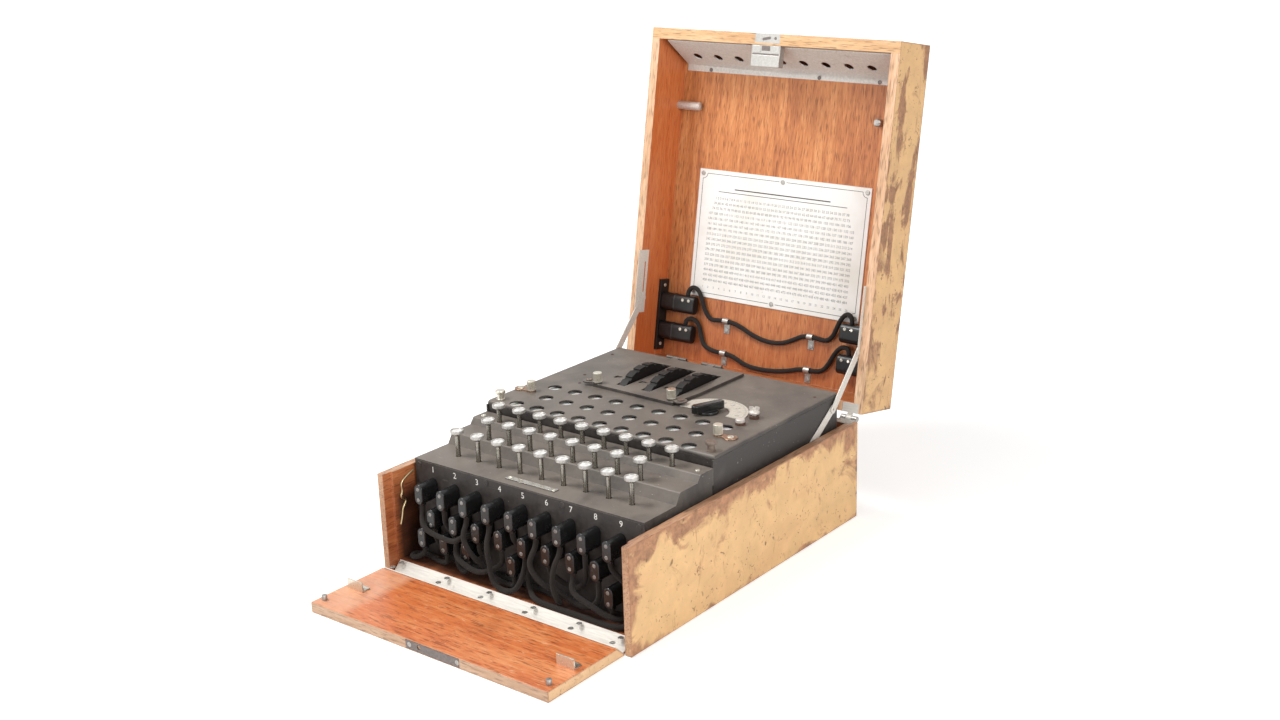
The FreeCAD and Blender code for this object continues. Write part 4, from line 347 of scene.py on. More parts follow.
def lid_wood():
    """The lid's boards: worn paint outside, varnished oak inside, redder on the flanks and low down."""
    g = Finish("lid_wood")
    x, s, d, local = lid_frame(g)
    across = g.calc("ABSOLUTE", x)
    inner, inner_height = oak(g, local, (0.31, 0.085, 0.024), (0.55, 0.20, 0.062), (0.76, 0.37, 0.15))
    inner = g.layer(inner, g.span(s, 0.13, 0.03), 0.45, (0.33, 0.070, 0.022))
    flank = g.span(across, 0.1298, 0.1302)
    inner = g.layer(inner, flank, 0.6, (0.50, 0.095, 0.018))
    nicks = g.span(g.noise((170, 30, 170), 3.0, 0.6, 1.0, local), 0.70, 0.74)
    inner = g.layer(inner, nicks, 0.5, (0.80, 0.48, 0.27))
    streaks = g.span(g.noise((45, 12, 45), 4.0, 0.6, 0.6, local), 0.5, 0.75)
    worn_at = g.either(g.edges(0.0022, 0.005, 0.12), streaks)
    sides = g.span(across, HALF_WIDTH - 0.0003, HALF_WIDTH - 0.00015)
    panel = g.span(d, 0.0541, 0.0543)
    fore = g.span(s, 0.3397, 0.3399)
    rear = g.span(s, 0.0003, 0.0001)
    outside = g.either(g.either(sides, panel), g.either(fore, rear))
    crosswise = g.node("ShaderNodeCombineXYZ", {0: s, 1: x, 2: d})
    rim_colour, _ = oak(g, local, (0.34, 0.18, 0.09), (0.60, 0.35, 0.20), (0.76, 0.52, 0.34))
    fore_colour, _ = oak(g, crosswise, (0.40, 0.20, 0.09), (0.60, 0.35, 0.17), (0.74, 0.50, 0.28))
    rim_colour = g.blend(g.span(s, 0.3285, 0.3295), rim_colour, fore_colour)
    return board(g, outside, (inner, inner_height),
                 painted(g, (0.70, 0.43, 0.20), (0.38, 0.185, 0.09), worn_at, 0.035),
                 [(g.span(d, 0.0007, 0.0004), rim_colour)], 0.40, 0.4, 0.0008)


def flap_wood():
    """The front flap: bright varnished oak above with a painted reflection on its left end, worn paint on its
    edges and below.
    """
    g = Finish("flap_wood")
    x, y, z = g.parts()
    crosswise = g.node("ShaderNodeCombineXYZ", {0: y, 1: x, 2: z})
    inner, inner_height = oak(g, crosswise, (0.33, 0.070, 0.020), (0.57, 0.155, 0.045), (0.72, 0.30, 0.12))
    scuffs = g.span(g.noise((70, 260, 70), 3.0, 0.65, 1.2), 0.63, 0.70)
    inner = g.layer(inner, scuffs, 0.5, (0.82, 0.50, 0.30))
    dim = g.span(g.noise(18.0, 3.0, 0.6), 0.56, 0.72)
    inner = g.layer(inner, dim, 0.25, (0.24, 0.055, 0.02))
    # Painted reflection: the flap's left end is lightened, more in some places than in others.
    left_end_reflection = g.both(g.span(x, -0.088, -0.100), g.span(g.noise(50.0, 3.0, 0.6), 0.3, 0.6, 0.55, 1.0))
    inner = g.layer(inner, left_end_reflection, 0.6, (0.72, 0.42, 0.27))
    edge = g.edges(0.002, 0.005, 0.12)
    outer, outer_height = painted(g, (0.72, 0.46, 0.25), (0.45, 0.24, 0.13), edge, 0.02)
    end_grain, _ = oak(g, crosswise, (0.30, 0.16, 0.10), (0.50, 0.31, 0.20), (0.66, 0.46, 0.33))
    outer = g.layer(outer, g.span(g.parts(g.facing)[1], -0.6, -0.9), 0.9, end_grain)
    return board(g, g.span(z, 0.0093, 0.0090), (inner, inner_height), (outer, outer_height), [], 0.3, 0.35)


def dark_paint(name, dust_wear_and_sheen):
    """The machine's black paint: dust and a painted sheen on its upward faces and in broad patches, rubbed to
    a grey brown on edges, with pale specks.
    """
    g = Finish(name)
    broad = g.noise(16.0, 4.0, 0.6, 0.5)
    fine = g.noise(240.0, 4.0, 0.7)
    colour = g.blend(g.span(fine, 0.3, 0.75), (0.020, 0.017, 0.016), (0.045, 0.038, 0.034))
    # Upward faces take a pale film: partly dust, partly a painted sheen where the paint mirrors the bright
    # room.
    level = g.span(g.parts(g.facing)[2], 0.2, 0.8)
    film = g.blend(g.span(fine, 0.25, 0.75), (0.155, 0.130, 0.108), (0.215, 0.185, 0.158))
    colour = g.layer(colour, level, g.span(broad, 0.3, 0.65, dust_wear_and_sheen * 0.5, dust_wear_and_sheen), film)
    # Broad pale patches: dust, and painted sheen as well.
    dust_and_sheen_patches = g.span(broad, 0.62 - dust_wear_and_sheen * 0.25, 0.85 - dust_wear_and_sheen * 0.2)
    colour = g.layer(colour, dust_and_sheen_patches, 0.4, (0.17, 0.145, 0.12))
    scratch = g.span(g.noise((60, 420, 420), 2.0, 0.6, 0.6), 0.71, 0.75)
    colour = g.layer(colour, scratch, 0.35 * dust_wear_and_sheen + 0.1, (0.34, 0.30, 0.25))
    speck = g.span(g.noise(520.0, 1.0, 0.5), 0.77, 0.80)
    colour = g.layer(colour, speck, 0.6, (0.50, 0.46, 0.40))
    edge = g.both(g.edges(0.0007, 0.03, 0.3), g.span(fine, 0.35, 0.6))
    colour = g.layer(colour, edge, 0.55, (0.23, 0.20, 0.17))
    rough = g.span(fine, 0.3, 0.7, 0.40, 0.58)
    return g.set(Base_Color=colour, Roughness=rough, Specular_IOR_Level=0.4,
                 Normal=g.bump(fine, 0.25, 0.00015, 0.0004))


def metal(name, colour, roughness, dirt, dirt_colour=(0.16, 0.11, 0.07), metallic=1.0,
          streak=(500, 500, 500), grain=0.15):
    """A plain or plated metal with a little tarnish in spots."""
    g = Finish(name)
    cloud = g.noise(90.0, 5.0, 0.65)
    fine = g.noise(streak, 3.0, 0.6)
    base = g.blend(g.span(fine, 0.3, 0.7), colour, times(colour, 0.8))
    stain = g.span(cloud, 0.68 - dirt * 0.2, 0.80)
    base = g.layer(base, stain, 0.7, dirt_colour)
    rough = g.sum(g.span(fine, 0.3, 0.7, roughness - 0.05, roughness + 0.08), g.both(stain, 0.25))
    return g.set(Base_Color=base, Roughness=rough, Metallic=metallic,
                 Normal=g.bump(fine, grain, 0.0001, 0.0003))


def moulded(name, colour, roughness, mottle=0.3):
    """Black phenolic moulding, slightly mottled and scuffed."""
    g = Finish(name)
    cloud = g.noise(130.0, 4.0, 0.6)
    fine = g.noise(900.0, 2.0, 0.6)
    paler = tuple(c * 2.6 + 0.012 for c in colour)
    base = g.layer(colour, g.span(cloud, 0.45, 0.75), mottle, paler)
    base = g.layer(base, g.edges(0.0006, 0.03, 0.3), 0.35, (0.11, 0.10, 0.09))
    rough = g.span(cloud, 0.3, 0.7, roughness, roughness + 0.16)
    return g.set(Base_Color=base, Roughness=rough, Specular_IOR_Level=0.45,
                 Normal=g.bump(fine, 0.1, 0.0001, 0.0004))


THREADS_ALONG = 90.0
THREADS_ROUND = 8.0


def braid():
    """The cords' braided cotton: two sets of threads crossing round the cord."""
    g = Finish("cord_braid")
    u, v, _ = g.parts(g.strip)
    along = g.both(u, THREADS_ALONG)
    around = g.both(v, THREADS_ROUND)
    one = g.calc("SINE", g.both(g.sum(along, around), math.tau))
    two = g.calc("SINE", g.both(g.calc("SUBTRACT", along, around), math.tau))
    thread = g.either(one, two)
    fibre = g.noise(1500.0, 3.0, 0.7)
    cloud = g.noise(45.0, 3.0, 0.6)
    tone = g.sum(g.span(thread, -0.4, 1.0, 0.0, 0.6), g.both(fibre, 0.5))
    base = g.blend(tone, (0.005, 0.004, 0.004), (0.026, 0.021, 0.018))
    base = g.layer(base, g.span(cloud, 0.5, 0.75), 0.3, (0.045, 0.036, 0.029))
    height = g.sum(g.both(thread, 0.6), g.both(fibre, 0.4))
    return g.set(Base_Color=base, Roughness=0.82, Sheen_Weight=0.06, Sheen_Roughness=0.5,
                 Specular_IOR_Level=0.2, Normal=g.bump(height, 0.6, 0.0003))


def sheet_white():
    """The notice sheet: pale enamel, a little yellowed and spotted."""
    g = Finish("notice_sheet")
    cloud = g.noise(22.0, 4.0, 0.6)
    spot = g.span(g.noise(300.0, 2.0, 0.6), 0.72, 0.76)
    base = g.blend(g.span(cloud, 0.4, 0.75), (0.80, 0.78, 0.75), (0.70, 0.67, 0.61))
    base = g.layer(base, spot, 0.5, (0.38, 0.30, 0.2))
    base = g.layer(base, g.edges(0.0015, 0.03, 0.3), 0.5, (0.40, 0.35, 0.28))
    return g.set(Base_Color=base, Roughness=g.span(cloud, 0.3, 0.7, 0.3, 0.42),
                 Normal=g.bump(cloud, 0.1, 0.0003))


def ink(name, colour):
    """Printed or filled figures, slightly uneven."""
    g = Finish(name)
    cloud = g.noise(700.0, 2.0, 0.6)
    base = g.blend(g.span(cloud, 0.4, 0.7), colour, tuple(min(1.0, c * 1.25 + 0.01) for c in colour))
    return g.set(Base_Color=base, Roughness=0.6)


def lamp_film():
    """The lamp film: translucent white celluloid."""
    g = Finish("lamp_film")
    cloud = g.noise(80.0, 4.0, 0.6)
    base = g.blend(g.span(cloud, 0.35, 0.75), (0.74, 0.72, 0.69), (0.50, 0.47, 0.43))
    return g.set(Base_Color=base, Roughness=0.32, Subsurface_Weight=0.15, Subsurface_Scale=0.002)


def bulb_glass():
    g = Finish("bulb_glass")
    cloud = g.noise(200.0, 2.0, 0.5)
    base = g.blend(cloud, (0.80, 0.80, 0.78), (0.66, 0.66, 0.64))
    return g.set(Base_Color=base, Roughness=0.25, Transmission_Weight=0.35, IOR=1.45)


def key_card():
    """The card under a key's glass: pale and a little clouded, with a clear coat."""
    g = Finish("key_card")
    cloud = g.noise(260.0, 3.0, 0.6)
    base = g.blend(g.span(cloud, 0.35, 0.7), (0.76, 0.75, 0.73), (0.62, 0.61, 0.58))
    return g.set(Base_Color=base, Roughness=0.22, Coat_Weight=0.5, Coat_Roughness=0.08)


def rotor_metal(name, start):
    """A rotor: brass core, pale figure ring and black notched thumbwheel with a painted highlight on its rim,
    by their place along it.
    """
    g = Finish(name)
    across = g.calc("SUBTRACT", g.parts()[0], start / 1000)
    ring = g.both(g.span(across, 0.0070, 0.0071), g.span(across, 0.0200, 0.0199))
    wheel = g.span(across, 0.01995, 0.0200)
    fine = g.noise(300.0, 3.0, 0.6)
    brass = g.blend(g.span(fine, 0.3, 0.7), (0.50, 0.38, 0.20), (0.36, 0.26, 0.13))
    card = g.blend(g.span(fine, 0.3, 0.7), (0.62, 0.57, 0.47), (0.50, 0.45, 0.36))
    rim = g.blend(g.span(fine, 0.3, 0.7), (0.030, 0.027, 0.025), (0.014, 0.013, 0.012))
    # Painted highlight: the wheel's rim, which faces outwards, is a little lighter than its side faces.
    facing = g.calc("ABSOLUTE", g.parts(g.facing)[0])
    black = g.blend(g.span(facing, 0.5, 0.7), rim, (0.008, 0.007, 0.007))
    colour = g.blend(wheel, g.blend(ring, brass, card), black)
    metallic = g.both(g.other(ring), g.span(wheel, 0, 1, 0.9, 0.0))
    return g.set(Base_Color=colour, Roughness=0.5, Metallic=metallic, Specular_IOR_Level=0.2,
                 Normal=g.bump(fine, 0.15, 0.0001, 0.0003))


CASE_WOOD = wall_wood()
LID_WOOD = lid_wood()
FLAP_WOOD = flap_wood()
DECK_PAINT = dark_paint("deck_paint", 0.95)
COVER_PAINT = dark_paint("cover_paint", 0.8)
PANEL_PAINT = dark_paint("panel_paint", 0.1)
FRAME_PAINT = dark_paint("frame_paint", 0.2)
ZINC = metal("pale_zinc", (0.70, 0.66, 0.60), 0.5, 0.3, (0.42, 0.33, 0.24), 0.15, (60, 700, 700))
STEEL = metal("dull_steel", (0.42, 0.40, 0.37), 0.42, 0.4, metallic=0.8)
DARK_STEEL = metal("dark_steel", (0.20, 0.17, 0.16), 0.42, 0.5)
NICKEL = metal("dull_nickel", (0.74, 0.70, 0.60), 0.30, 0.1, (0.40, 0.31, 0.20), 0.85)
BRIGHT = metal("key_nickel", (0.50, 0.48, 0.45), 0.36, 0.05, (0.34, 0.29, 0.23), 0.5, grain=0.02)
STEM = metal("key_stem", (0.30, 0.28, 0.245), 0.24, 0.2, (0.12, 0.10, 0.08), grain=0.03)
LOCK = metal("lock_nickel", (0.50, 0.485, 0.455), 0.34, 0.25, (0.24, 0.20, 0.16), 0.8)
PLUG_SCREW = metal("plug_screw", (0.26, 0.245, 0.23), 0.34, 0.3, metallic=0.8)
COPPERY = metal("worn_copper", (0.40, 0.26, 0.18), 0.38, 0.5, (0.14, 0.08, 0.05))
BROWN_CAP = metal("worn_cap", (0.20, 0.15, 0.12), 0.5, 0.6, (0.10, 0.07, 0.05), 0.4)
PALE_CAP = metal("pale_cap", (0.66, 0.61, 0.56), 0.45, 0.45, (0.30, 0.22, 0.16), 0.45)
BROWN_RING = moulded("brown_ring", (0.075, 0.035, 0.022), 0.4)
PLATE_TIN = metal("plate_tin", (0.66, 0.63, 0.58), 0.24, 0.1, (0.36, 0.32, 0.27), 0.8, (30, 900, 900))
BRASS_WIRE = metal("brass_wire", (0.60, 0.47, 0.27), 0.3, 0.5)
RACK_GREY = metal("rack_grey", (0.70, 0.67, 0.62), 0.5, 0.35, (0.36, 0.29, 0.22), 0.15)
BAKELITE = moulded("bakelite", (0.008, 0.008, 0.008), 0.14, 0.2)
HOLDER_BLACK = moulded("holder_black", (0.006, 0.0055, 0.0055), 0.30, 0.12)
BOARD_BROWN = moulded("board_brown", (0.10, 0.045, 0.022), 0.5)
BRAID = braid()
SHEET = sheet_white()
FILM = lamp_film()
GLASS = bulb_glass()
CARD = key_card()
INK = ink("black_ink", (0.045, 0.042, 0.04))
GREY_INK = ink("grey_ink", (0.16, 0.155, 0.15))
PALE_INK = ink("pale_ink", (0.42, 0.41, 0.39))
WHITE_FILL = ink("white_fill", (0.72, 0.70, 0.66))
DIAL = metal("dial_ivory", (0.64, 0.60, 0.52), 0.45, 0.5, (0.34, 0.26, 0.18), 0.25)


# Building meshes

FLAT_ANGLE = math.radians(0.5)
CORNER_ANGLE = math.radians(35)
BOARD_ROUNDING = 0.7
FIGURE_HEIGHT = 0.7
FIGURES = {}


def circle(radius, count, start=0.0, end=math.tau):
    """Points in metres on a whole circle, or on an arc with both its ends."""
    whole = abs(end - start - math.tau) < 1e-6
    steps = count if whole else count - 1
    angles = [start + (end - start) * i / steps for i in range(count)]
    return [(radius * math.cos(a) / 1000, radius * math.sin(a) / 1000) for a in angles]


def inset(outline, amount):
    """A closed anticlockwise outline, moved inwards by an amount in metres."""
    moved = []
    for number, point in enumerate(outline):
        before = Vector(outline[number - 1])
        after = Vector(outline[(number + 1) % len(outline)])
        here = Vector(point)
        one = (here - before).normalized()
        two = (after - here).normalized()
        normal = Vector((-(one.y + two.y), one.x + two.x))
        if normal.length < 1e-9:
            moved.append(point)
            continue
        normal.normalize()
        lean = max(0.4, normal.dot(Vector((-one.y, one.x))))
        moved.append(tuple(here + normal * amount / lean))
    return moved


def loft(mesh, rings, finish):
    """Joins rings of points to one another and caps both ends."""
    made = [[mesh.verts.new(point) for point in ring] for ring in rings]
    count = len(rings[0])
    faces = []
    for low, high in zip(made, made[1:]):
        for i in range(count):
            j = (i + 1) % count
            faces.append(mesh.faces.new((low[i], low[j], high[j], high[i])))
    faces.append(mesh.faces.new(list(reversed(made[0]))))
    faces.append(mesh.faces.new(made[-1]))
    for face in faces:
        face.material_index = finish


def prism(mesh, matrix, outline, low, high, bevel=0.3, finish=0, steps=3, foot=0.0):
    """An outline in metres raised from low to high millimetres, its upper edge and its foot rounded."""
    turns = [math.pi / 2 * i / steps for i in range(steps + 1)]
    if foot:
        rings = [(low + foot * (1 - math.sin(turn)), foot * (1 - math.cos(turn))) for turn in reversed(turns)]
    else:
        rings = [(low, 0)]
    for turn in turns:
        rings.append((high - bevel + bevel * math.sin(turn), bevel * (1 - math.cos(turn))))
    placed = []
    for height, amount in rings:
        shape = inset(outline, amount / 1000) if amount > 0 else outline
        placed.append([matrix @ Vector((px, py, height / 1000)) for px, py in shape])
    loft(mesh, placed, finish)


def turned(mesh, matrix, profile, count=32, finish=0):
    """A profile of (radius, height) in millimetres turned about the frame's Z."""
    rings = []
    for radius, height in profile:
        points = circle(max(radius, 0.02), count)
        rings.append([matrix @ Vector((px, py, height / 1000)) for px, py in points])
    loft(mesh, rings, finish)


def oblong(width, height, corner, count=8):
    """A rounded rectangle about the origin, in metres."""
    points = []
    for cx, cy, start in ((1, 1, 0), (-1, 1, 90), (-1, -1, 180), (1, -1, 270)):
        middle = Vector((cx * (width / 2 - corner), cy * (height / 2 - corner))) / 1000
        for px, py in circle(corner, count, math.radians(start), math.radians(start + 90)):
            points.append((middle.x + px, middle.y + py))
    return points


def screw(mesh, matrix, radius, rise, turn, finish=0, dome=0.35):
    """A slotted screw head standing on a surface: two halves with the slot between them."""
    matrix = matrix @ spun(turn)
    slot = radius * 0.16
    turned(mesh, matrix, [(radius, 0), (radius, rise * 0.3)], 24, finish)
    lean = math.asin(slot / radius)
    for side in (0, math.pi):
        arc = circle(radius, 12, side + lean, side + math.pi - lean)
        prism(mesh, matrix, arc, rise * 0.2, rise, min(dome, rise * 0.7), finish, 2)


def new_piece(name, mesh, body, finishes, stands_for=(), sharp=38):
    """Turns a mesh into a piece of the scene that rides on a body."""
    bmesh.ops.recalc_face_normals(mesh, faces=mesh.faces)
    data = bpy.data.meshes.new(name)
    mesh.to_mesh(data)
    mesh.free()
    data.shade_smooth()
    data.set_sharp_from_angle(angle=math.radians(sharp))
    for finish in finishes:
        data.materials.append(finish)
    piece = put_in_scene(name, data, body)
    piece.modifiers.new("even_shading", "WEIGHTED_NORMAL").keep_sharp = True
    if stands_for:
        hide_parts(*stands_for)
    return piece


def solids(mesh):
    """The separate solids of a mesh, each as a list of faces with its middle and its size."""
    left = set(mesh.faces)
    while left:
        group = [left.pop()]
        for known in group:
            for face in {face for edge in known.edges for face in edge.link_faces} & left:
                left.remove(face)
                group.append(face)
        points = [vert.co * 1000 for face in group for vert in face.verts]
        low, high = [Vector([pick(p[i] for p in points) for i in range(3)]) for pick in (min, max)]
        yield group, (low + high) / 2, high - low


def cad_mesh(node):
    """A CAD node's own shape, its vertices joined."""
    mesh = bmesh.new()
    mesh.from_mesh(NODES[node].data)
    bmesh.ops.remove_doubles(mesh, verts=mesh.verts, dist=2e-6)
    for face in mesh.faces:
        face.material_index = 0
    return mesh


def fittings(node, body, finishes, choose, drop=None):
    """A CAD node with a finish chosen for each of its solids, and some of them left out."""
    mesh = cad_mesh(node)
    for group, middle, size in list(solids(mesh)):
        if drop and drop(middle, size):
            bmesh.ops.delete(mesh, geom=group, context="FACES")
            continue
        for face in group:
            face.material_index = choose(middle, size)
    new_piece(f"{node}_made", mesh, body, finishes, [node])


def broad_first(middle, size):
    """The first finish for the board or sheet itself, and the second for what stands on it."""
    return 0 if size.x > 100 else 1


def soft_board(node, body, finish):
    """A wooden board from the CAD with its edges rounded."""
    mesh = cad_mesh(node)
    bmesh.ops.dissolve_limit(mesh, angle_limit=FLAT_ANGLE, verts=mesh.verts, edges=mesh.edges)
    edges = [edge for edge in mesh.edges
             if len(edge.link_faces) == 2 and edge.calc_face_angle(0) > CORNER_ANGLE]
    bmesh.ops.bevel(mesh, geom=edges, offset=BOARD_ROUNDING / 1000, segments=3, affect="EDGES",
                    clamp_overlap=True, material=-1)
    new_piece(f"{node}_made", mesh, body, [finish], [node])


def wear(node, finish):
    """Gives a CAD node one finish all over."""
    materials = NODES[node].data.materials
    materials.clear()
    materials.append(finish)


def figure_mesh(text):
    """The flat outline of some figures, made once, as a mesh."""
    if text not in FIGURES:
        curve = bpy.data.curves.new("figures", "FONT")
        curve.body = text
        curve.align_x = "CENTER"
        curve.align_y = "CENTER"
        curve.resolution_u = 3
        holder = put_in_scene("figures", curve)
        bpy.context.view_layer.update()
        made = holder.evaluated_get(bpy.context.evaluated_depsgraph_get())
        FIGURES[text] = bpy.data.meshes.new_from_object(made)
        bpy.data.objects.remove(holder)
    return FIGURES[text]


def figures(name, entries, body, finish, shape=None):
    """Plain numbers laid on a surface: each entry is its text, its height and its frame."""
    mesh = bmesh.new()
    for text, size, matrix in entries:
        before = len(mesh.verts)
        mesh.from_mesh(figure_mesh(text))
        mesh.verts.ensure_lookup_table()
        for vert in mesh.verts[before:]:
            local = vert.co * size / 1000 / FIGURE_HEIGHT
            vert.co = matrix @ (shape(local) if shape else local)
    data = bpy.data.meshes.new(name)
    mesh.to_mesh(data)
    mesh.free()
    data.materials.clear()
    data.materials.append(finish)
    put_in_scene(name, data, body)


# Patch cords, from plug to plug

MACHINE_MIDDLE = -1
ROW_COUNTS = (9, 8, 9)
SOCKET_PITCH = 26.35
SOCKET_TOP = 75.7
SOCKET_ROW_PITCH = 20.3
OPEN_SOCKETS = [(2, 3), (2, 5), (2, 6), (2, 7)]
CORD_DEPTH = 20.2
CORD_DROP = 9.3


def in_rows(pitch):
    """Number, row, column and X of each of the 26 places in the machine's three rows."""
    number = 0
    for row, count in enumerate(ROW_COUNTS):
        for column in range(count):
            number += 1
            yield number, row, column, MACHINE_MIDDLE + pitch * (column - (count - 1) / 2)


def cord_exit(row, column):
    """Where the cord leaves the plug in a socket."""
    x = [x for _, r, c, x in in_rows(SOCKET_PITCH) if (r, c) == (row, column)][0]
    return x, CORD_DEPTH, SOCKET_TOP - SOCKET_ROW_PITCH * row - CORD_DROP


# Length, first socket, last socket and the points between them.
PATCH_CORDS = [
    (113, (0, 0), (1, 2), [
        (-106.4, 20.2, 59.5), (-104.5, 15.8, 53), (-98, 12.4, 47.5), (-89, 12.5, 44.5), (-77, 12.4, 43.6),
        (-66, 12.4, 43), (-60, 13.5, 45), (-55, 18, 49.5), (-49, 23, 48.5), (-45, 27.5, 43.5),
        (-43.5, 29.5, 37.5), (-41.5, 26.5, 33), (-40.5, 21.5, 35), (-40.52, 20.2, 41)]),
    (230, (0, 6), (1, 0), [
        (51.7, 20.2, 60), (49, 15.5, 51), (48, 13, 41), (48, 12.8, 31), (50, 13.5, 23), (50.5, 16.5, 16.5),
        (47, 22, 13.2), (39, 28, 13), (28, 31, 13), (14, 31.5, 13.2), (-4, 32, 13), (-24, 31.6, 13.1),
        (-44, 32, 13), (-64, 31.7, 13.2), (-80, 32, 13), (-88, 31.6, 16.5), (-92.5, 28.5, 24),
        (-93.5, 24, 31.5), (-93.22, 20.2, 39.5)]),
    (85, (2, 0), (2, 1), [
        (-106.4, 20.2, 20), (-113, 17, 15.5), (-120, 16.2, 13.2), (-125, 20, 13), (-123.5, 26, 13),
        (-116.5, 28.4, 13.1), (-107, 27, 13.2), (-97, 24.5, 13.1), (-87.5, 22.7, 14), (-80.6, 20.8, 17.5),
        (-80.05, 20.2, 22)]),
    (75, (0, 1), (2, 2), [
        (-80.05, 20.2, 60.5), (-80.5, 21, 53), (-76.5, 22, 47.5), (-71.8, 23, 42), (-70.3, 23, 34),
        (-70, 22, 26), (-68, 20.5, 18.5), (-62, 19, 14), (-56, 19, 15), (-53.7, 20.2, 20.5)]),
    (99, (0, 2), (2, 4), [
        (-53.7, 20.2, 60.5), (-53.2, 14.5, 54), (-51.3, 12.5, 47.5), (-46.5, 12.5, 40), (-42, 14.5, 33.5),
        (-38, 18.5, 27), (-33, 21.5, 20), (-26, 23, 14.5), (-16, 24, 13), (-7, 23.5, 13.4), (-2, 21.3, 17),
        (-1, 20.2, 21.5)]),
    (109, (0, 3), (1, 4), [
        (-27.35, 20.2, 60), (-26.5, 15, 52), (-24.5, 12.6, 43.5), (-22.5, 12.5, 34.5), (-21.5, 12.5, 25),
        (-19, 12.6, 17.5), (-12.5, 12.8, 13), (-3, 12.8, 13), (5, 13, 16.5), (10.3, 14, 24),
        (12.2, 17, 32.5), (12.18, 20.2, 40.5)]),
    (226, (0, 4), (0, 8), [
        (-1, 20.2, 60.2), (1, 23.5, 53.5), (5, 26, 46.5), (7.4, 27, 38), (8.5, 26.5, 29.5), (12, 23, 21),
        (19, 17.5, 15.2), (28, 13.6, 13.2), (41, 12.8, 12.9), (56, 12.9, 12.9), (71, 12.7, 13),
        (86, 12.9, 12.9), (100, 12.7, 13), (112, 13.2, 13), (120.5, 16, 14), (125, 21.5, 19),
        (125.3, 25, 28), (122.5, 25.5, 38), (118, 24, 47), (111, 22.3, 53.5), (104.4, 20.2, 60)]),
    (124, (0, 5), (1, 7), [
        (25.35, 20.2, 60), (23.5, 15.5, 52), (22.5, 13, 44.5), (28, 13, 36), (35.5, 15, 29),
        (44, 19, 24.5), (53, 22.5, 20), (63, 23, 16.5), (73, 21.3, 17), (82, 20, 20.5), (88, 21, 25),
        (91, 20.7, 31.5), (91.22, 20.2, 40)]),
    (85, (1, 1), (1, 3), [
        (-66.9, 20.2, 41), (-65.8, 16.5, 34.5), (-61, 12.8, 28.5), (-50.5, 12.5, 24.3), (-39, 12.6, 21.8),
        (-30, 14.5, 23), (-22, 19.5, 26.5), (-16.5, 22.5, 32), (-14.2, 20.2, 40)]),
    (93, (1, 6), (2, 8), [
        (64.85, 20.2, 41), (66.5, 14.3, 34.8), (73, 12.7, 30), (82, 12.6, 27.7), (91, 12.8, 25),
        (100, 13.8, 21), (108, 16, 18.5), (114.2, 20, 17.2), (115.5, 25.5, 17), (111, 28.8, 17.2),
        (106, 26.5, 17.8), (104.4, 20.2, 20.6)]),
    (82, (1, 5), (0, 7), [
        (38.5, 20.2, 40.5), (41.5, 25, 33), (49, 28.5, 27.5), (60, 29.5, 26.8), (68, 28.7, 33),
        (73, 26, 42), (76.5, 22.5, 51), (78.05, 20.2, 60)]),
]
UPPER_LEAD = [(-97, 75.3, 39.8), (-97, 80.5, 39.8), (-92.5, 85, 41.3), (-86, 82.5, 42.2), (-81, 74, 42.3),
              (-77, 62.5, 43.3), (-69, 54), (-58, 55.5), (-42, 55.5), (-30, 52), (-16, 46), (2, 42.5),
              (19, 44), (32, 50), (42, 55.5), (58, 55.5), (68, 54), (75.5, 60, 43.6), (79.5, 70, 42.4),
              (84, 80, 42.2), (90.5, 85, 41.3), (97, 81, 39.8), (97, 75.3, 39.8)]
LOWER_LEAD = [(-97, 45.3, 39.8), (-97, 50.5, 39.8), (-90, 53, 41.5), (-82.5, 48, 43), (-79.5, 37.5),
              (-75.5, 27.5), (-67.5, 24), (-57, 22.7), (-43, 22.7), (-34, 20), (-23, 15.5), (-8, 13.8),
              (12, 15), (30, 18.5), (42, 22.7), (58, 22.7), (68, 25), (74, 33.5), (80, 45.5, 43.3),
              (88, 52.5, 41.5), (97, 51.3, 39.8), (97, 45.3, 39.8)]
CORD_DIAMETER = 4.6
LEAD_DEPTH = 39.8
CLIP_DEPTH = 43.8
SPARE_PLUG_X = 86.3


def cord(name, points, body, length, end, stands_for=None):
    """A braided cord on one smooth line along its control points."""
    curve = bpy.data.curves.new(name, "CURVE")
    curve.dimensions = "3D"
    curve.bevel_depth = CORD_DIAMETER / 2000
    curve.bevel_resolution = 5
    curve.resolution_u = 8
    spline = curve.splines.new("NURBS")
    spline.points.add(len(points) - 1)
    for point, place in zip(spline.points, points):
        point.co = (*place, 1)
    spline.order_u = 3
    spline.use_endpoint_u = True
    curve.materials.append(BRAID)
    piece = put_in_scene(name, curve, body)
    if stands_for:
        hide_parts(stands_for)
    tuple(points[0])


# Plugs

PLUG_OUTLINE = oblong(9.5, 18.6, 4.7, 10)
PANEL_FRONT = 35.4


def plug(name, x, z):
    """A two-pin plug with rounded nose, two screws, its pins and the collar of its cord."""
    mesh = bmesh.new()
    nose = on_front(x, PANEL_FRONT, z)
    prism(mesh, nose, PLUG_OUTLINE, 0, 20, 1.1, 0, 4, 0.5)
    for rise, turn in ((4.9, 35), (-4.9, 110)):
        screw(mesh, nose @ Matrix.Translation((0, rise / 1000, 0.0199)), 1.75, 0.5, turn + x, 1)
    for rise, radius in ((5, 2.0), (-5, 1.5)):
        tip = nose @ Matrix.Translation((0, rise / 1000, 0)) @ spun(180, "X")
        turned(mesh, tip, [(radius, -1), (radius, 15.3), (radius * 0.8, 15.8), (radius * 0.4, 16)], 20, 1)
    collar = Matrix.Translation(at(x, CORD_DEPTH, z - CORD_DROP)) @ spun(180, "X")
    turned(mesh, collar, [(3.1, -1.5), (3.1, 0.5), (2.9, 0.9), (2.5, 1.1)], 24, 0)
    return new_piece(name, mesh, "case", [BAKELITE, PLUG_SCREW])


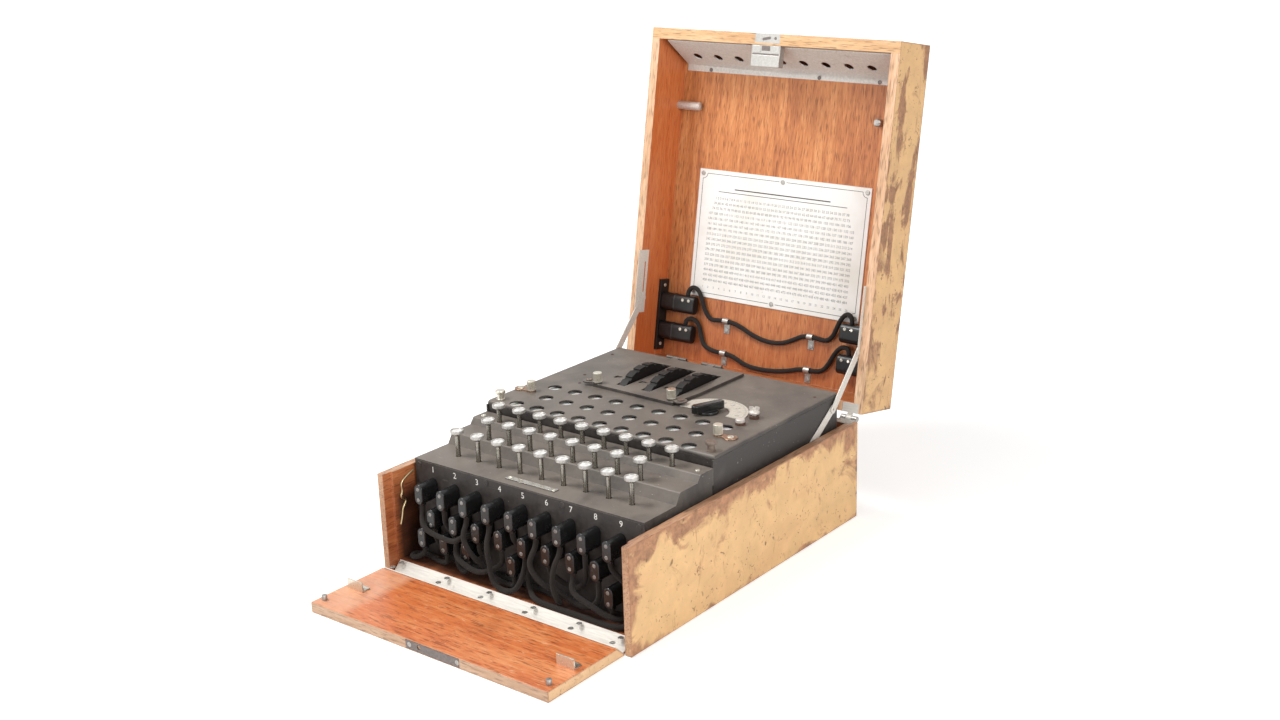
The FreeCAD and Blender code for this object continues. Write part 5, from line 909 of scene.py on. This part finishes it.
def add_patch_leads():
    plugs = {}
    for _, row, column, x in in_rows(SOCKET_PITCH):
        if (row, column) not in OPEN_SOCKETS:
            plugs[row, column] = plug(f"plug_{row}_{column}", x, SOCKET_TOP - SOCKET_ROW_PITCH * row)
    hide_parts("patch_plugs")
    for number, (length, start, end, points) in enumerate(PATCH_CORDS, start=1):
        route = [at(*p) for p in (cord_exit(*start), *points, cord_exit(*end))]
        stands_for = "patch_cords" if number == 1 else None
        cord(f"patch_cord_{number:02d}", route, "case", length, plugs[end], stands_for)


def spare_plug(name, side, s):
    """A spare plug lying along X in the lid, its two screws towards the viewer."""
    mesh = bmesh.new()
    across = frame_of(in_lid(SPARE_PLUG_X * side, s, LEAD_DEPTH), LID_OUT * -side, LID_UP)
    prism(mesh, across, oblong(10.5, 18.6, 5.2, 10), 0, 41, 0.8, 0, 3, 1.4)
    for along in (6, 13.5):
        face = on_lid((SPARE_PLUG_X + along) * side, s + 4.5, LEAD_DEPTH - 5.2)
        screw(mesh, face, 1.6, 0.45, 40 * along, 1)
    band = across @ Matrix.Translation((0, 0, 0.024))
    prism(mesh, band, oblong(11.3, 19.4, 5.5, 10), 0, 2.4, 0.5, 0, 2, 0.5)
    return new_piece(name, mesh, "lid", [HOLDER_BLACK, NICKEL])


def add_spare_leads():
    for name, s, route, length, stands_for in (("upper", 66, UPPER_LEAD, 242.8, "spare_leads"),
                                               ("lower", 36, LOWER_LEAD, 236.1, None)):
        spare_plug(f"spare_plug_{name}_left", -1, s)
        end = spare_plug(f"spare_plug_{name}_right", 1, s)
        points = [in_lid(*p) if len(p) == 3 else in_lid(*p, CLIP_DEPTH) for p in route]
        cord(f"spare_cord_{name}", points, "lid", length, end, stands_for)


add_patch_leads()
add_spare_leads()


# Case, flap and lid boards

for node in ("case_side_left", "case_side_right", "case_rear_wall", "case_floor"):
    soft_board(node, "case", CASE_WOOD)
wear("lid_boards", LID_WOOD)
soft_board("flap_board", "flap", FLAP_WOOD)


# Metal on the case and the flap

HINGE_SCREWS = (-124, -68.25, -18.55, 31.15, 80.85, 124)


def case_metal(middle, size):
    """The hinge leaf, the bent wire hook, or a small fitting."""
    if size.x > 200:
        return 0
    return 2 if size.z > 40 else 1


def flap_metal(middle, size):
    """The hinge leaf, the strike plate, a catch, or a small fitting."""
    if size.x > 200:
        return 0
    if size.y < 1.5 and size.x > 50:
        return 3
    return 2 if size.x > 8 else 1


fittings("case_hardware", "case", [ZINC, STEEL, BRASS_WIRE], case_metal)
fittings("flap_fittings", "flap", [ZINC, STEEL, NICKEL, DARK_STEEL], flap_metal)


def add_hinge_screws():
    """The screws of the flap's long hinge, of its strike plate and of its two catches."""
    mesh = bmesh.new()
    for number, x in enumerate(HINGE_SCREWS):
        screw(mesh, on_top(x, 6.3, 10.5), 2.5, 0.35, 25 + 47 * number, 0, 0.2)
    new_piece("floor_hinge_screws", mesh, "case", [STEEL])
    mesh = bmesh.new()
    for number, x in enumerate(HINGE_SCREWS):
        screw(mesh, on_top(x, -4.3, 10.5), 2.5, 0.35, 140 - 61 * number, 0, 0.2)
    for x, turn in ((-15, 75), (38, 60)):
        screw(mesh, on_front(x, -91, 4.8), 2.1, 0.4, turn, 0, 0.2)
    for side in (-1, 1):
        for x in (-5.2, 5.2):
            screw(mesh, on_top(118 * side + x, -50.6, 10.6), 1.5, 0.5, 30 * x, 0)
    new_piece("flap_screws", mesh, "flap", [STEEL])


add_hinge_screws()


# Keys

KEY_PITCH = 24.39
KEY_FRONT = 59.9
KEY_ROW_PITCH = 27.2
KEY_TOPS = (123.9, 128.2, 131.7)
KEY_FOOT = 80
CARD_DEPTH = 0.95
LAMP_FRONT = 137.5
LAMP_ROW_PITCH = 26.55
FILM_TOP = 122.26


def on_card(point):
    """A point of a key's figure, lifted onto its domed card."""
    return Vector((point.x, point.y, 0.00032 - 0.000010 * (point.length * 1000) ** 2))


def add_keys():
    for number, row, _, x in in_rows(KEY_PITCH):
        name = f"key_{number:02d}"
        top = KEY_TOPS[row]
        stand = on_top(x, KEY_FRONT + KEY_ROW_PITCH * row, 0)
        card = stand @ Matrix.Translation((0, 0, (top - CARD_DEPTH) / 1000))
        mesh = bmesh.new()
        turned(mesh, stand, [(2.1, KEY_FOOT), (2.1, top - 5.5), (2.4, top - 5.0)], 40, 2)
        turned(mesh, stand, [(2.4, top - 5.0), (5.1, top - 3.2), (5.7, top - 3.0), (5.95, top - 2.7),
                             (6.0, top - 0.3), (5.8, top), (5.45, top), (5.2, top - 0.2),
                             (5.1, top - 0.9)], 40, 0)
        turned(mesh, card, [(5.1, -0.3), (5.1, 0.03), (4.0, 0.14), (2.4, 0.22), (0.8, 0.26)], 40, 1)
        new_piece(f"{name}_made", mesh, name, [BRIGHT, CARD, STEM], [name])
        figures(f"{name}_figure", [(str(number), 4.0, card)], name, PALE_INK, on_card)


add_keys()


# Machine: deck, panel, stays, rotors and lamps

ROTORS = (("rotor_left", -69.8), ("rotor_middle", -40.4), ("rotor_right", -11.0))
ROTOR_AXIS = (259, 84.5)
RING_RADIUS = 41.36
RING_MIDDLE = 13.5
RING_COUNT = 26

for node, finish in (("key_deck", DECK_PAINT), ("main_cover", COVER_PAINT), ("plugboard_panel", PANEL_PAINT),
                     ("machine_frame", FRAME_PAINT), ("rotor_flap", COVER_PAINT),
                     ("contact_stack", BOARD_BROWN), ("battery", BOARD_BROWN),
                     ("stay_left_lower", ZINC), ("stay_left_upper", ZINC),
                     ("stay_right_lower", ZINC), ("stay_right_upper", ZINC)):
    wear(node, finish)


def add_rotor_figures(name, start):
    """The numbers round a rotor's pale ring."""
    ring = []
    for number in range(RING_COUNT):
        angle = math.tau * number / RING_COUNT
        radial = Vector((0, math.sin(angle), math.cos(angle)))
        centre = at(start + RING_MIDDLE, *ROTOR_AXIS) + radial * RING_RADIUS / 1000
        place = frame_of(centre, (1, 0, 0), (0, math.cos(angle), -math.sin(angle)))
        ring.append((str(number + 1), 4.2, place))
    figures(f"{name}_figures", ring, name, INK)


for name, start in ROTORS:
    wear(name, rotor_metal(f"{name}_metal", start))
    add_rotor_figures(name, start)
figures("panel_figures",
        [(str(number), 5.4, on_front(x, PANEL_FRONT - 0.07, 92.6))
         for number, row, _, x in in_rows(SOCKET_PITCH) if row == 0],
        "case", WHITE_FILL)
figures("lamp_figures",
        [(str(number), 5.0, on_top(x, LAMP_FRONT + LAMP_ROW_PITCH * row, FILM_TOP))
         for number, row, _, x in in_rows(KEY_PITCH)],
        "main_cover", GREY_INK)
fittings("lamp_board", "case", [BOARD_BROWN, GLASS], broad_first)


def add_deck_plate():
    """The bare plate on the deck, its two screws and the deck's own."""
    mesh = bmesh.new()
    prism(mesh, on_top(0, 46, 99.9), oblong(55, 6, 0.6, 4), 0, 0.45, 0.15, 0, 2)
    new_piece("deck_plate", mesh, "case", [PLATE_TIN])
    mesh = bmesh.new()
    for x, turn in ((-24.5, 15), (24.5, 80)):
        screw(mesh, on_top(x, 46, 100.3), 1.6, 0.5, turn)
    for x, turn in ((-122, 30), (120, 70)):
        screw(mesh, on_top(x, 118, 115), 2.3, 0.6, turn)
    new_piece("deck_screws", mesh, "case", [NICKEL])


add_deck_plate()


# Fittings on the cover

def cover_part(middle, size):
    """The lamp film, the dial, a tab, a small disc, or a post's foot."""
    if size.x > 200:
        return 0
    if middle.z < 127.5 and size.x > 50:
        return 1
    if size.x > 20 and middle.z < 127:
        return 2
    if size.x < 7 and size.z < 1.2:
        return 3
    return 4


def plain_round(middle, size):
    """The round posts and screws that are made again below."""
    return size.x < 11 and middle.z > 126


fittings("cover_fittings", "main_cover", [FILM, DIAL, COPPERY, NICKEL, COVER_PAINT], cover_part,
         plain_round)


KNURLS = 26
COVER_TOP = 125.5
DIAL_CENTRE = (62, 213)


def knurled(mesh, matrix, radius, low, high):
    """A round head with straight knurling between two plain chamfers."""
    count = KNURLS * 4
    rings = []
    for height, share, deep in ((low, 0.93, 0), (low + 0.5, 1, 0), (low + 0.9, 1, 1), (high - 0.9, 1, 1),
                                (high - 0.5, 1, 0), (high - 0.1, 0.93, 0), (high, 0.86, 0)):
        ring = []
        for i in range(count):
            a = math.tau * i / count
            cut = 0.30 if deep and i % 4 < 2 else 0
            r = (radius * share - cut) / 1000
            ring.append(matrix @ Vector((r * math.cos(a), r * math.sin(a), height / 1000)))
        rings.append(ring)
    loft(mesh, rings, 0)


def add_latches():
    for name, x, y, low in (("cover_latch_left", -110, 171, COVER_TOP),
                            ("cover_latch_right", 103, 171, COVER_TOP),
                            ("rotor_latch_left", -67.5, 216.5, COVER_TOP + 3),
                            ("rotor_latch_right", 18.7, 216.5, COVER_TOP + 3)):
        mesh = bmesh.new()
        stand = on_top(x, y, 0)
        knurled(mesh, stand, 4.25, low + 1.5, low + 10.5)
        turned(mesh, stand, [(1.9, low - 1.5), (1.9, low + 1.6)], 20, 0)
        new_piece(f"{name}_made", mesh, name, [NICKEL], [name], 30)


add_latches()


def add_cover_posts():
    """The two mushroom screws, the lamp post, the terminal and the tabs' screws."""
    mesh = bmesh.new()
    top = COVER_TOP
    for x, finish in ((-119, 3), (119, 1)):
        stand = on_top(x, 138.5, top)
        turned(mesh, stand, [(3.9, 0), (3.9, 0.8), (3.2, 1.0), (3.2, 5.6), (4.5, 6.0), (4.8, 6.4), (4.8, 8.2),
                             (4.4, 8.8), (2.5, 9.0)], 32, finish)
    stand = on_top(103, 204, top)
    turned(mesh, stand, [(4.5, 0), (4.5, 2.2), (4.3, 2.5)], 32, 2)
    turned(mesh, stand, [(4.2, 2.3), (4.2, 4.6), (3.6, 5.3), (1.5, 5.5)], 32, 4)
    stand = on_top(104, 224, top)
    turned(mesh, stand, [(4.5, 0), (4.5, 2.4), (4.2, 2.7)], 32, 2)
    turned(mesh, stand, [(2.25, 2.5), (2.25, 4.1), (4.6, 4.4), (4.95, 4.9), (4.95, 6.0), (4.3, 6.9),
                         (2.0, 7.6), (1.8, 9.0)], 32, 4)
    for turn in (25, 205):
        wing = stand @ spun(turn) @ Matrix.Translation((0.0012, 0, 0.0074))
        side = wing @ spun(90, "X") @ Matrix.Translation((0.0012, 0.0016, -0.0004))
        prism(mesh, side, oblong(4.6, 3.6, 1.4, 5), 0, 0.8, 0.2, 4, 2)
    for x in (-123, 116):
        screw(mesh, on_top(x, 171, 126.6), 3.0, 0.9, 25 + x, 3, 0.5)
    for x, y, turn in ((-88, 214, 10), (-100, 236, 60), (118, 300, 30), (-118, 300, 80)):
        screw(mesh, on_top(x, y, top), 1.5, 0.4, turn, 2)
    new_piece("cover_posts", mesh, "main_cover", [NICKEL, BROWN_CAP, BROWN_RING, NICKEL, PALE_CAP])
    mesh = bmesh.new()
    for x in (-78, 29.2):
        screw(mesh, on_top(x, 216.5, 129.65), 3.0, 0.9, 40 + x, 0, 0.5)
    new_piece("rotor_flap_screws", mesh, "rotor_flap", [COPPERY])


add_cover_posts()


def add_selector():
    """The selector knob: a round skirt and a grip with an oval flat top."""
    mesh = bmesh.new()
    stand = on_top(*DIAL_CENTRE, COVER_TOP, 66)
    turned(mesh, stand, [(3.0, -10.2), (3.0, 0.2), (9.5, 0.25), (9.5, 1.9), (9.1, 2.5)], 40, 0)
    prism(mesh, stand, oblong(32.4, 8.0, 3.9, 10), 2.3, 9.5, 1.3, 0, 4, 0.4)
    new_piece("selector_knob_made", mesh, "selector_knob", [BAKELITE], ["selector_knob"])


add_selector()


def on_dial(angle, radius, z, turn):
    """Frame of a mark on the dial, at an angle in degrees round it."""
    x = DIAL_CENTRE[0] + radius * math.cos(math.radians(angle))
    y = DIAL_CENTRE[1] + radius * math.sin(math.radians(angle))
    return on_top(x, y, z, turn)


def add_dial_marks():
    entries = []
    for number in range(6):
        angle = 12 + 20 * number
        entries.append((str(number), 4.2, on_dial(angle, 27.5, 126.36, angle - 90)))
    figures("dial_figures", entries, "main_cover", GREY_INK)
    mesh = bmesh.new()
    for angle in range(4, 128, 4):
        length = 1.6 if angle % 20 else 2.8
        prism(mesh, on_dial(angle, 33.6, 126.3, angle), oblong(length, 0.4, 0.15, 3), 0, 0.05, 0.02, 0, 1)
    new_piece("dial_ticks", mesh, "main_cover", [GREY_INK])


add_dial_marks()


# Lid fittings

def lid_part(middle, size):
    """Which finish each of the lid's fittings takes."""
    if size.x > 200:
        return 0
    if 27 < size.x < 40:
        return 2
    if size.x < 1.5:
        return 1
    if size.x < 3.5 and size.z > 60:
        return 3
    if size.x > 20 and size.z < 10:
        return 5
    return 1 if size.x > 10 else 4


fittings("lid_fittings", "lid", [RACK_GREY, ZINC, LOCK, HOLDER_BLACK, STEEL, PALE_CAP], lid_part)
LOCK_MIDDLE = -4
# Depths below the rim of the lock's two faces.
LOCK_FACE = 0.6
RIM_PLATE_FACE = 0.15


def add_lock():
    """The lock in the lid: a broad band below, two lugs above it, and flat dark patches of painted shade for
    the gap between the lugs, the line above the band and the holes in its rim plate.
    """
    mesh = bmesh.new()
    band = on_lid(LOCK_MIDDLE, 314.5, LOCK_FACE)
    prism(mesh, band, oblong(31.6, 10.4, 0.8), 0, 0.4, 0.15)
    for side in (-1, 1):
        lug = on_lid(LOCK_MIDDLE + side * 10.4, 325.2, LOCK_FACE)
        prism(mesh, lug, oblong(9.6, 6.4, 1.6), 0, 0.4, 0.2)
    # Painted shade: dark patches laid on the faces where the gaps and holes would lie in shadow.
    for x, s, d, turn, rise, outline in ((0, 326.2, LOCK_FACE, 0, 0.12, oblong(9.4, 4.6, 0.8)),
                                         (0, 320.8, LOCK_FACE, 0, 0.12, oblong(30, 1.3, 0.5)),
                                         (0, 335.3, RIM_PLATE_FACE, 12, 0.1, oblong(9.5, 2.6, 1.2)),
                                         (10, 335.8, RIM_PLATE_FACE, 0, 0.1, oblong(2.8, 2.8, 1.3))):
        prism(mesh, on_lid(LOCK_MIDDLE + x, s, d, turn), outline, 0, rise, 0.03, 1)
    new_piece("lock_face", mesh, "lid", [LOCK, DARK_STEEL])


add_lock()
fittings("instruction_plate", "lid", [SHEET, STEEL], broad_first)


def strip(mesh, matrix, width, height):
    """A printed line, hardly raised."""
    prism(mesh, matrix, oblong(width, height, min(width, height) * 0.3, 2), 0, 0.06, 0.02, 0, 1)


NOTICE_FACE = 45.68
NOTICE_ROWS = 17
ROW_LENGTH = 104


def add_notice_print():
    """A ruled border with notched corners, and rows of plain running numbers."""
    mesh = bmesh.new()
    left, right, low, high = -95.2, 95.7, 80.3, 200.7
    middle_x, middle_s = (left + right) / 2, (low + high) / 2
    notch = 5.2
    half = middle_x - 4 - left - notch
    rules = [(x, s, half, 0.5) for s in (low, high)
             for x in ((left + notch + middle_x - 4) / 2, (right - notch + middle_x + 4) / 2)]
    rules += [(x, middle_s, 0.5, high - low - notch * 2) for x in (left, right)]
    rules += [(0.2, 187.5, 112, 1.1), (0.2, 183.8, 150, 0.6)]
    for x, s, width, height in rules:
        strip(mesh, on_lid(x, s, NOTICE_FACE), width, height)
    for x, s, start in ((left, low, 0), (right, low, 90), (right, high, 180), (left, high, 270)):
        arc = [Vector((*p, 0)) for p in circle(notch, 9, math.radians(start), math.radians(start + 90))]
        for a, b in zip(arc, arc[1:]):
            turn = math.atan2(b.y - a.y, b.x - a.x)
            spot = on_lid(x, s, NOTICE_FACE) @ Matrix.Translation((a + b) / 2) @ Matrix.Rotation(turn, 4, "Z")
            strip(mesh, spot, (b - a).length * 1000 + 0.3, 0.5)
    new_piece("notice_rules", mesh, "lid", [INK])
    entries = []
    count = 0
    for row in range(NOTICE_ROWS):
        text = ""
        while len(text) < ROW_LENGTH:
            count += 1
            text = f"{text} {count}".strip()
        entries.append((text, 2.5, on_lid(0.2, 177 - row * 5.2, NOTICE_FACE - 0.03)))
    for column in range(26):
        entries.append((str(column + 1), 2.2, on_lid(-84.5 + column * 6.8, 86.6, NOTICE_FACE - 0.03)))
    figures("notice_figures", entries, "lid", GREY_INK)


add_notice_print()


def add_lid_screws():
    """The screws of the lamp rack and of the two plug holders."""
    mesh = bmesh.new()
    for x in (-97, 30, 96):
        screw(mesh, on_lid(x, 303.2, 45.4), 2.0, 0.5, x, 1)
    for side in (-1, 1):
        for s in (21, 82):
            face = frame_of(in_lid(127.2 * side, s, 40), LID_OUT * side, LID_UP)
            screw(mesh, face, 1.9, 0.5, 30 + s)
    new_piece("lid_screws", mesh, "lid", [NICKEL, DARK_STEEL])


add_lid_screws()


# Floor, light and background

FLOOR_REACH = 14
ROOM_LIGHT = 0.52

def add_floor():
    """A wide pale floor, which whoever looks sees brighter the further it lies from the machine."""
    g = Finish("floor")
    tone = g.blend(g.span(g.noise(3.0, 2.0, 0.5), 0.3, 0.7), (0.86, 0.86, 0.86), (0.85, 0.85, 0.85))
    x, y, _ = g.parts()
    away = g.calc("SQRT", g.sum(g.both(x, x), g.both(y, y)))
    g.set(Base_Color=tone, Roughness=0.9, Emission_Color=(1, 1, 1), Specular_IOR_Level=0.2,
          Emission_Strength=g.both(g.seen(), g.span(away, 0.4, 3.5, 0.38, 0.8)))
    mesh = bmesh.new()
    bmesh.ops.create_grid(mesh, x_segments=8, y_segments=8, size=FLOOR_REACH)
    data = bpy.data.meshes.new("floor")
    mesh.to_mesh(data)
    mesh.free()
    data.materials.append(g.material)
    floor = put_in_scene("floor", data)
    floor.location = (0, 0, -0.0003)


def add_area(name, place, target, size, power):
    data = bpy.data.lights.new(name, "AREA")
    data.shape = "RECTANGLE"
    data.size = size[0]
    data.size_y = size[1]
    data.energy = power
    light = put_in_scene(name, data)
    light.location = place
    light.rotation_euler = (Vector(target) - Vector(place)).to_track_quat("-Z", "Y").to_euler()


def add_world():
    """White to whoever looks, and dimmer as a light on the machine."""
    world = bpy.data.worlds.new("studio")
    g = Nodes(world, "ShaderNodeOutputWorld")
    strength = g.span(g.seen(), 0.0, 1.0, ROOM_LIGHT, 1.0)
    shader = g.node("ShaderNodeBackground", {"Color": (1, 1, 1), "Strength": strength})
    g.put(g.output.inputs[0], shader)
    bpy.context.scene.world = world


add_floor()
add_world()
add_area("top_light", (-0.8, -0.5, 1.7), (0, 0, 0.1), (0.6, 0.6), 26)
add_area("right_light", (1.7, -0.7, 1.0), (0, 0, 0.12), (1.0, 1.0), 21)
add_area("front_light", (-0.6, -1.9, 0.9), (0, 0, 0.12), (1.2, 0.9), 9)
bpy.context.scene.view_settings.view_transform = "Standard"
